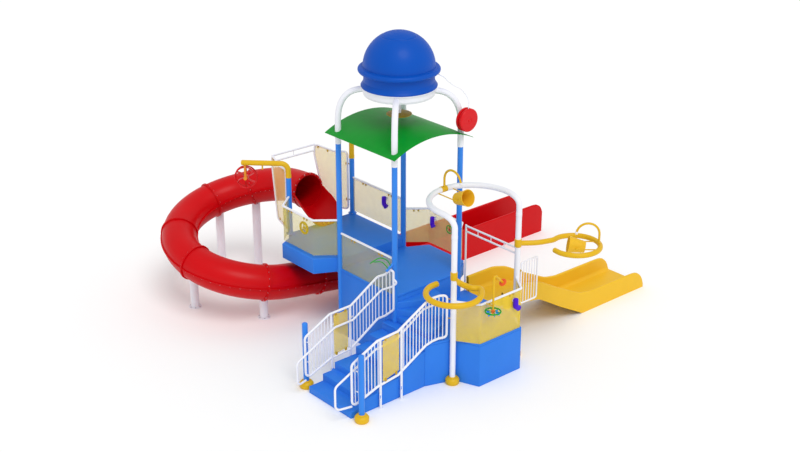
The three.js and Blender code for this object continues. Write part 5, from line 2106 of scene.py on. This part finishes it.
@dataclass
class SlideGuards:
    """The double bar over the open slide's start and the barred panel beside it."""

    pole: Pair = (2.166, -1.456)
    far_y: float = 0.125
    low: float = 0.9953
    rail: float = 0.021
    top: float = 2.59
    bars: Pair = (2.43, 2.56)
    ties: tuple[float, ...] = (-1.05, -0.65, -0.25)
    clips: Pair = (1.42, 2.01)
    panel_x: Pair = (2.296, 2.786)
    panel_z: Pair = (1.22, 2.195)
    panes: int = 6

    def build(self) -> None:
        """Makes the header and the panel."""
        x, y = self.pole
        header = Form()
        for z in reversed(self.bars):
            header.add(bar(Vector((x, y, z)), Vector((x, self.far_y, z)), self.rail, 18))
        foot, top = (Vector((x, self.far_y, z)) for z in (self.low, self.top))
        header.add(bar(foot, top, self.rail, 18, End.ROUND))
        for tie_y in self.ties:
            header.add(bar(*(Vector((x, tie_y, z)) for z in self.bars), 0.009, 10))
        header.piece("slide_header_bars", WHITE, ("slide_header",))
        self.panel()

    def panel(self) -> None:
        """Makes the panel of upright bars at the slide's near side."""
        x, y = self.pole
        (x0, x1), (z0, z1) = self.panel_x, self.panel_z
        corners = [Vector((x0, y, z0)), Vector((x0, y, z1)), Vector((x1, y, z1)), Vector((x1, y, z0))]
        panel = Form.pipe(rounded(corners, 0.06, 8, closed=True), self.rail - 0.003, 16, closed=True)
        for k in range(1, self.panes):
            bar_x = x0 + (x1 - x0) * k / self.panes
            panel.add(bar(Vector((bar_x, y, z0)), Vector((bar_x, y, z1)), 0.009, 10))
        panel.piece("slide_panel_bars", WHITE, ("slide_panel",))
        clips = Form()
        for z in self.clips:
            clips.add(Form.block((x + 0.04, y - 0.016, z - 0.02), (x0 + 0.004, y + 0.016, z + 0.02)))
        clips.piece("slide_panel_clips", CLIP_PAINTED_SHADE)


@dataclass
class WaterWheel:
    """The red paddle wheel under the arm."""

    arm: WheelArm
    radius: float = 0.245
    half: float = 0.045
    rim: float = 0.016
    hub: float = 0.045
    hub_half: float = 0.055
    root: float = 0.035
    bow: float = 0.02
    paddles: int = 6

    def build(self) -> None:
        """Makes the rims, paddles and hub, all on the wheel's body."""
        axis = Vector((1, 1, 0)).normalized()
        seat = framed(self.arm.hub + axis * self.arm.wheel_off, UP, axis)
        wheel = Form()
        for z in (-self.half, self.half):
            wheel.add(Form.pipe(circle(self.radius, 64, z), self.rim, 14, closed=True))
        edge, reach, steps = self.half + 0.004, self.radius - 0.005 - self.root, 8
        for turn in turns(self.paddles):
            rows = []
            for i in range(steps + 1):
                r = self.root + reach * i / steps
                off = self.bow * math.sin(math.pi * i / steps)
                rows.append([turn @ Vector((r, off, z)) for z in (-edge, 0, edge)])
            wheel.add(Form.skinned(rows, 0.005))
        wheel.moved(seat).piece("water_wheel_blades", WHEEL_RED, ("water_wheel",), "water_wheel")
        hub = Form.bushing(self.arm.axle + RUNNING, self.hub, self.hub_half, 0.008, 5, TUBE_SIDES)
        hub.moved(seat).piece("water_wheel_hub", TIP_ORANGE, body="water_wheel")


@dataclass
class Spinner:
    """The green spinner on its yellow pipe before the low platform's guard."""

    x: float = 0.8
    y: float = -2.135
    z: float = 1.79
    radius: float = 0.16
    pipe: float = 0.016
    stem: float = 0.023
    ring: float = 0.016
    hub: float = 0.04
    hub_half: float = 0.028
    spokes: int = 6
    guard_y: float = -1.921
    rail_z: float = 1.9
    knee_z: float = 2.62
    tip_x: float = 1.055
    tip_z: float = 2.365

    def build(self) -> None:
        """Makes the pipe with its disc and the wheel."""
        foot = Vector((self.x, self.y, self.z - self.hub_half - 0.024))
        knee = Vector((self.x, self.y, self.knee_z))
        tip = Vector((self.tip_x, self.y, self.tip_z))
        pipe = bar(foot, foot + UP * 0.3, self.pipe, 24, End.ROUND)
        stem = rounded([Vector((self.x, self.y, self.z + 0.09)), knee, tip], 0.04, 10)
        pipe.add(Form.pipe(stem, self.stem, 24, ends=End.ROUND))
        collar = Form.drum(0.026, -0.024, 0, 32, 0.004, 3)
        pipe.add(collar.shifted((self.x, self.y, self.z - self.hub_half - SEAT)))
        tie = (Vector((self.x, y, self.rail_z)) for y in (self.y, self.guard_y))
        pipe.add(bar(*tie, 0.012, 14))
        pipe.piece("spinner_feed_pipe", PIPE_YELLOW, ("spinner_pipe",))
        plate = spots((0, -0.01), (0.07, -0.01), (0.085, -0.003), (0.085, 0.004), (0, 0.01))
        disc = Form.turned(rounded(plate, 0.004, 3), 48)
        disc.moved(framed(tip, Vector((0, 1, 0)), Vector((1, 0, -1)))).piece("spinner_disc", TIP_ORANGE)
        self.wheel()

    def wheel(self) -> None:
        """Makes the ring, spokes, paddles and hub that turn."""
        place = Matrix.Translation((self.x, self.y, self.z))
        ring = Form.pipe(circle(self.radius, 48), self.ring, 14, closed=True)
        paddles = Form()
        for turn in turns(self.spokes):
            ring.add(bar(turn @ Vector((0.03, 0, 0)), turn @ Vector((self.radius, 0, 0)), 0.007, 10))
            blade = Form.block((0.07, -0.002, -0.075), (0.14, 0.002, 0.0), 0.0015)
            paddles.add(blade.moved(turn))
        ring.moved(place).piece("spinner_ring", TOY_GREEN, ("spinner_wheel",), "spinner")
        paddles.moved(place).piece("spinner_paddles", POST_BLUE, body="spinner")
        hub = Form.bushing(self.pipe + RUNNING, self.hub, self.hub_half, 0.006, 4, 40)
        hub.moved(place).piece("spinner_hub", TIP_ORANGE, body="spinner")


@dataclass
class HandWheel:
    """The green hand wheel inside the right bay's guard."""

    face_x: float = 2.28
    y: float = 0.73
    z: float = 2.25
    radius: float = 0.092
    tube: float = 0.01
    hub: float = 0.024
    hub_half: float = 0.014
    axle: float = 0.009
    off: float = 0.05
    spokes: int = 4

    def build(self) -> None:
        """Makes the wheel, its hub and its axle."""
        axis = Vector((1, 0, 0))
        seat = framed(Vector((self.face_x - self.off, self.y, self.z)), UP, axis)
        wheel = Form.pipe(circle(self.radius, 40), self.tube, 12, closed=True)
        for turn in turns(self.spokes):
            wheel.add(bar(turn @ Vector((0.02, 0, 0)), turn @ Vector((self.radius, 0, 0)), 0.006, 10))
        wheel.moved(seat).piece("hand_wheel_rim", TOY_GREEN, ("hand_wheel",), "hand_wheel")
        hub = Form.bushing(self.axle + RUNNING, self.hub, self.hub_half, 0.004, 3, 32)
        hub.moved(seat).piece("hand_wheel_hub", WHEEL_RED, body="hand_wheel")
        start = Vector((self.face_x - self.off - 0.022, self.y, self.z))
        axle = bar(start, Vector((self.face_x, self.y, self.z)), self.axle, 20, End.ROUND)
        axle.piece("hand_wheel_axle", FASTENER)


@dataclass
class RingWheel:
    """The yellow play wheel fixed inside the left bay's guard."""

    centre: Vector = Vector((-0.39, 2.61, 2.42))
    wall_x: float = -0.446
    radius: float = 0.125
    tube: float = 0.026
    hub: float = 0.035
    hub_half: float = 0.022
    spokes: int = 3

    def build(self) -> None:
        """Makes the wheel with its spokes and its stub."""
        seat = framed(self.centre, UP, Vector((1, 0, 0)))
        wheel = Form.pipe(circle(self.radius, 48), self.tube, 16, closed=True)
        for turn in turns(self.spokes):
            wheel.add(bar(Vector(), turn @ Vector((self.radius, 0, 0)), 0.012, 14))
        hub = Form.drum(self.hub, -self.hub_half, self.hub_half, 32, 0.006, 4)
        wheel.add(hub).moved(seat).piece("ring_wheel", PIPE_YELLOW)
        wall = Vector((self.wall_x, self.centre.y, self.centre.z))
        bar(self.centre, wall, 0.014, 18).piece("ring_wheel_stub", WHITE)


@dataclass
class Spout:
    """A fat bent purple spout on a stub from a guard's sheet."""

    node: str
    at: Vector
    mouth: Vector
    wall: Vector
    radius: float

    def build(self) -> None:
        """Makes the body with its flared mouth, and the stub with its flange."""
        corners = [self.at + UP * 0.12, self.at - UP * 0.07, self.at + self.mouth]
        body = Form.pipe(rounded(corners, 0.07, 10), self.radius, 32, ends=End.ROUND)
        way = (corners[2] - corners[1]).normalized()
        inner, outer = self.radius - 0.004, self.radius + 0.006
        section = spots((inner, -0.02), (outer, -0.02), (outer, 0.004), (inner, 0.004))
        lip = Form.collar(section, 0.004, 3, 40)
        body.add(lip.moved(framed(corners[2], UP.orthogonal(), way)))
        body.piece(f"{self.node}_body", TOY_PURPLE, (self.node,))
        start = self.at + UP * 0.06
        end = start + self.wall
        stub = bar(start, end, 0.016, 20)
        plate = Form.drum(0.04, -0.016, -0.006, 32, 0.003, 3)
        stub.add(plate.moved(framed(end, UP, self.wall)))
        stub.piece(f"{self.node}_stub", WHITE)


@dataclass
class Studio:
    """The camera at the photograph's angle, soft lights and a pale floor."""

    place: Vector = Vector((-17.184, -20.001, 14.647))
    pitch: float = 66.552
    yaw: float = -40.907
    lens: float = 62.63
    sensor: float = 36.0

    def camera(self) -> None:
        """Sets the camera up."""
        data = bpy.data.cameras.new("camera")
        data.lens = self.lens
        data.sensor_width = self.sensor
        data.clip_end = 500.0
        camera = placed("camera", data)
        camera.location = self.place
        camera.rotation_euler = Euler((math.radians(self.pitch), 0.0, math.radians(self.yaw)))
        bpy.context.scene.camera = camera

    def lights(self) -> None:
        """Sets up one large soft key light and an even sky."""
        scene = bpy.context.scene
        scene.view_settings.view_transform = "Standard"
        key = bpy.data.lights.new("key", "SUN")
        key.energy = 1.15
        key.angle = math.radians(28)
        lamp = placed("key", key)
        lamp.rotation_euler = Vector((0.35, 1.0, -1.45)).to_track_quat("-Z", "Y").to_euler()
        world = bpy.data.worlds.new("sky")
        world.use_nodes = True
        background = world.node_tree.nodes["Background"]
        background.inputs["Color"].default_value = (1.0, 1.0, 1.0, 1.0)
        background.inputs["Strength"].default_value = 0.74
        scene.world = world

    def floor(self) -> None:
        """Lays the plain pale floor."""
        form = Form()
        bmesh.ops.create_grid(form.mesh, x_segments=1, y_segments=1, size=150.0)
        data = form.baked("floor")
        shader = Shader("pale_floor")
        shader.set(Base_Color=(1.0, 1.0, 1.0, 1.0), Roughness=0.95, Specular_IOR_Level=0.05)
        data.materials.append(shader.material)
        placed("floor", data)


def railings(plan: Plan) -> list[StairRailing]:
    """The two stair railings.

    Args:
        plan: The levels and the post grid.

    Returns:
        The near and the far railing.
    """
    near, grab = -1.24, -1.17
    end = near - 0.11
    pole = Vector((0.334, -1.456, 0))
    near_rail = StairRailing(
        name="near_railing",
        rows=[
            (-2.19, near, 0.3, 1.26), (-1.53, near, 0.52, 1.56), (-0.98, near, 0.59, 1.59),
            (-0.235, near, 1.0, 1.99), (-0.05, near, 1.04, 2.03), (0.11, near - 0.025, 1.06, 2.04),
            (0.25, end, 1.075, 2.04),
        ],
        legs=(0.74, 1.3),
        grab=[Vector(p) for p in (
            (-2.19, near, 0.32), (-2.56, grab, 0.33), (-2.56, grab, 0.85), (-1.5, grab, 1.34),
            (-0.95, grab, 1.38), (-0.24, grab, 1.81), (-0.02, grab, 1.82), (0.06, near, 1.85),
        )],
        post=(-2.07, -1.395),
        ties=[(Vector((0.25, end, z)), pole + UP * z) for z in (1.52, 1.96)],
        wall=-1.19,
    )
    far, grab = 0.27, 0.2
    far_rail = StairRailing(
        name="far_railing",
        rows=[
            (-2.19, far, 0.3, 1.26), (-1.54, far, 0.545, 1.58), (-0.98, far, 0.59, 1.59),
            (-0.25, far, 1.04, 2.03), (-0.17, 0.11, 1.15, 2.12), (-0.095, -0.07, 1.33, 2.32),
        ],
        legs=(0.69, 1.19),
        grab=[Vector(p) for p in (
            (-2.19, far, 0.27), (-2.46, grab, 0.26), (-2.46, grab, 0.79), (-1.46, grab, 1.275),
            (-0.98, grab, 1.285), (-0.2, grab, 1.73), (-0.112, -0.03, 1.86), (-0.05, -0.14, 1.97),
            (-0.095, -0.07, 2.05),
        )],
        post=(-2.07, 0.42),
        ties=[(Vector((-0.095, -0.07, z)), plan.at(0, 0, z)) for z in (1.48, 2.19)],
        wall=0.19,
    )
    return [near_rail, far_rail]


def guards(plan: Plan) -> list[Guard]:
    """The guards of the decks.

    Args:
        plan: The levels and the post grid.

    Returns:
        All five guards.
    """
    module, height, seat, lift = plan.module, 0.915, 0.008, 0.085
    half = 0.55

    def bay(corner: float, face: float, y: float) -> list[Pair]:
        """The plan line of a bay's guard, from post to post."""
        return [(corner, y + module / 2), (face, y + half), (face, y - half), (corner, y - module / 2)]

    return [
        # The right bay and far side sheets take the paler copy of the yellow sheet: painted backlight.
        Guard("right_bay", "right_bay_guard", bay(module, module + 0.45, module / 2), plan.deck + lift,
              plan.deck + height, tint=SHEET_PAINTED_BACKLIGHT),
        # The left bay and left side sheets take the olive copy of the yellow sheet: painted shade.
        Guard("left_bay", "left_bay_guard", bay(0.0, -0.45, 1.5 * module), plan.far + lift,
              plan.far + height, tint=SHEET_PAINTED_SHADE),
        Guard("left_side", "left_guard", [(0, 0), (0, module)], plan.deck + seat, 2.45, tint=SHEET_PAINTED_SHADE),
        Guard("far_side", "far_side_guard", [(module, module), (module, 2 * module)], plan.far + lift,
              plan.far + height, tint=SHEET_PAINTED_BACKLIGHT),
        Guard("platform_front", "platform_guard",
              [(0.358, -1.456), (0.669, -1.921), (1.832, -1.921), (2.142, -1.456)], plan.low + 0.001, 1.9),
    ]


def spouts() -> list[Spout]:
    """Returns the three purple spouts."""
    places = (
        ("platform_spout", (1.6, -1.996, 1.65), (0.09, 0, -0.13), (0, 0.075, 0), 0.057),
        ("bay_spout", (2.18, 1.24, 2.29), (0, -0.04, -0.12), (0.1, 0, 0), 0.05),
        ("far_spout", (1.74, 2.4, 2.54), (0, -0.08, -0.11), (0.09, 0, 0), 0.052),
    )
    return [Spout(node, Vector(at), Vector(mouth), Vector(wall), r) for node, at, mouth, wall, r in places]


def main() -> None:
    """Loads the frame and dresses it."""
    logging.basicConfig(level=logging.INFO, format="%(name)s %(message)s")
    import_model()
    studio = Studio()
    studio.camera()
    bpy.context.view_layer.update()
    plan = Plan.measured()
    arm = WheelArm(plan)
    hoop = Hoop()
    parts = [
        Posts(plan), arm, Decks(plan), Stairs(plan), StairPosts(), *railings(plan), *guards(plan), Roof(),
        Dome(plan), Bell(plan), hoop, Rings(hoop), TubeSlide(), RunOut(), OpenSlide(), EntryGuards(plan),
        SlideGuards(), WaterWheel(arm), Spinner(), HandWheel(), RingWheel(), *spouts(),
    ]
    for part in parts:
        part.build()
    studio.lights()
    studio.floor()


if __name__ == "__main__":
    main()
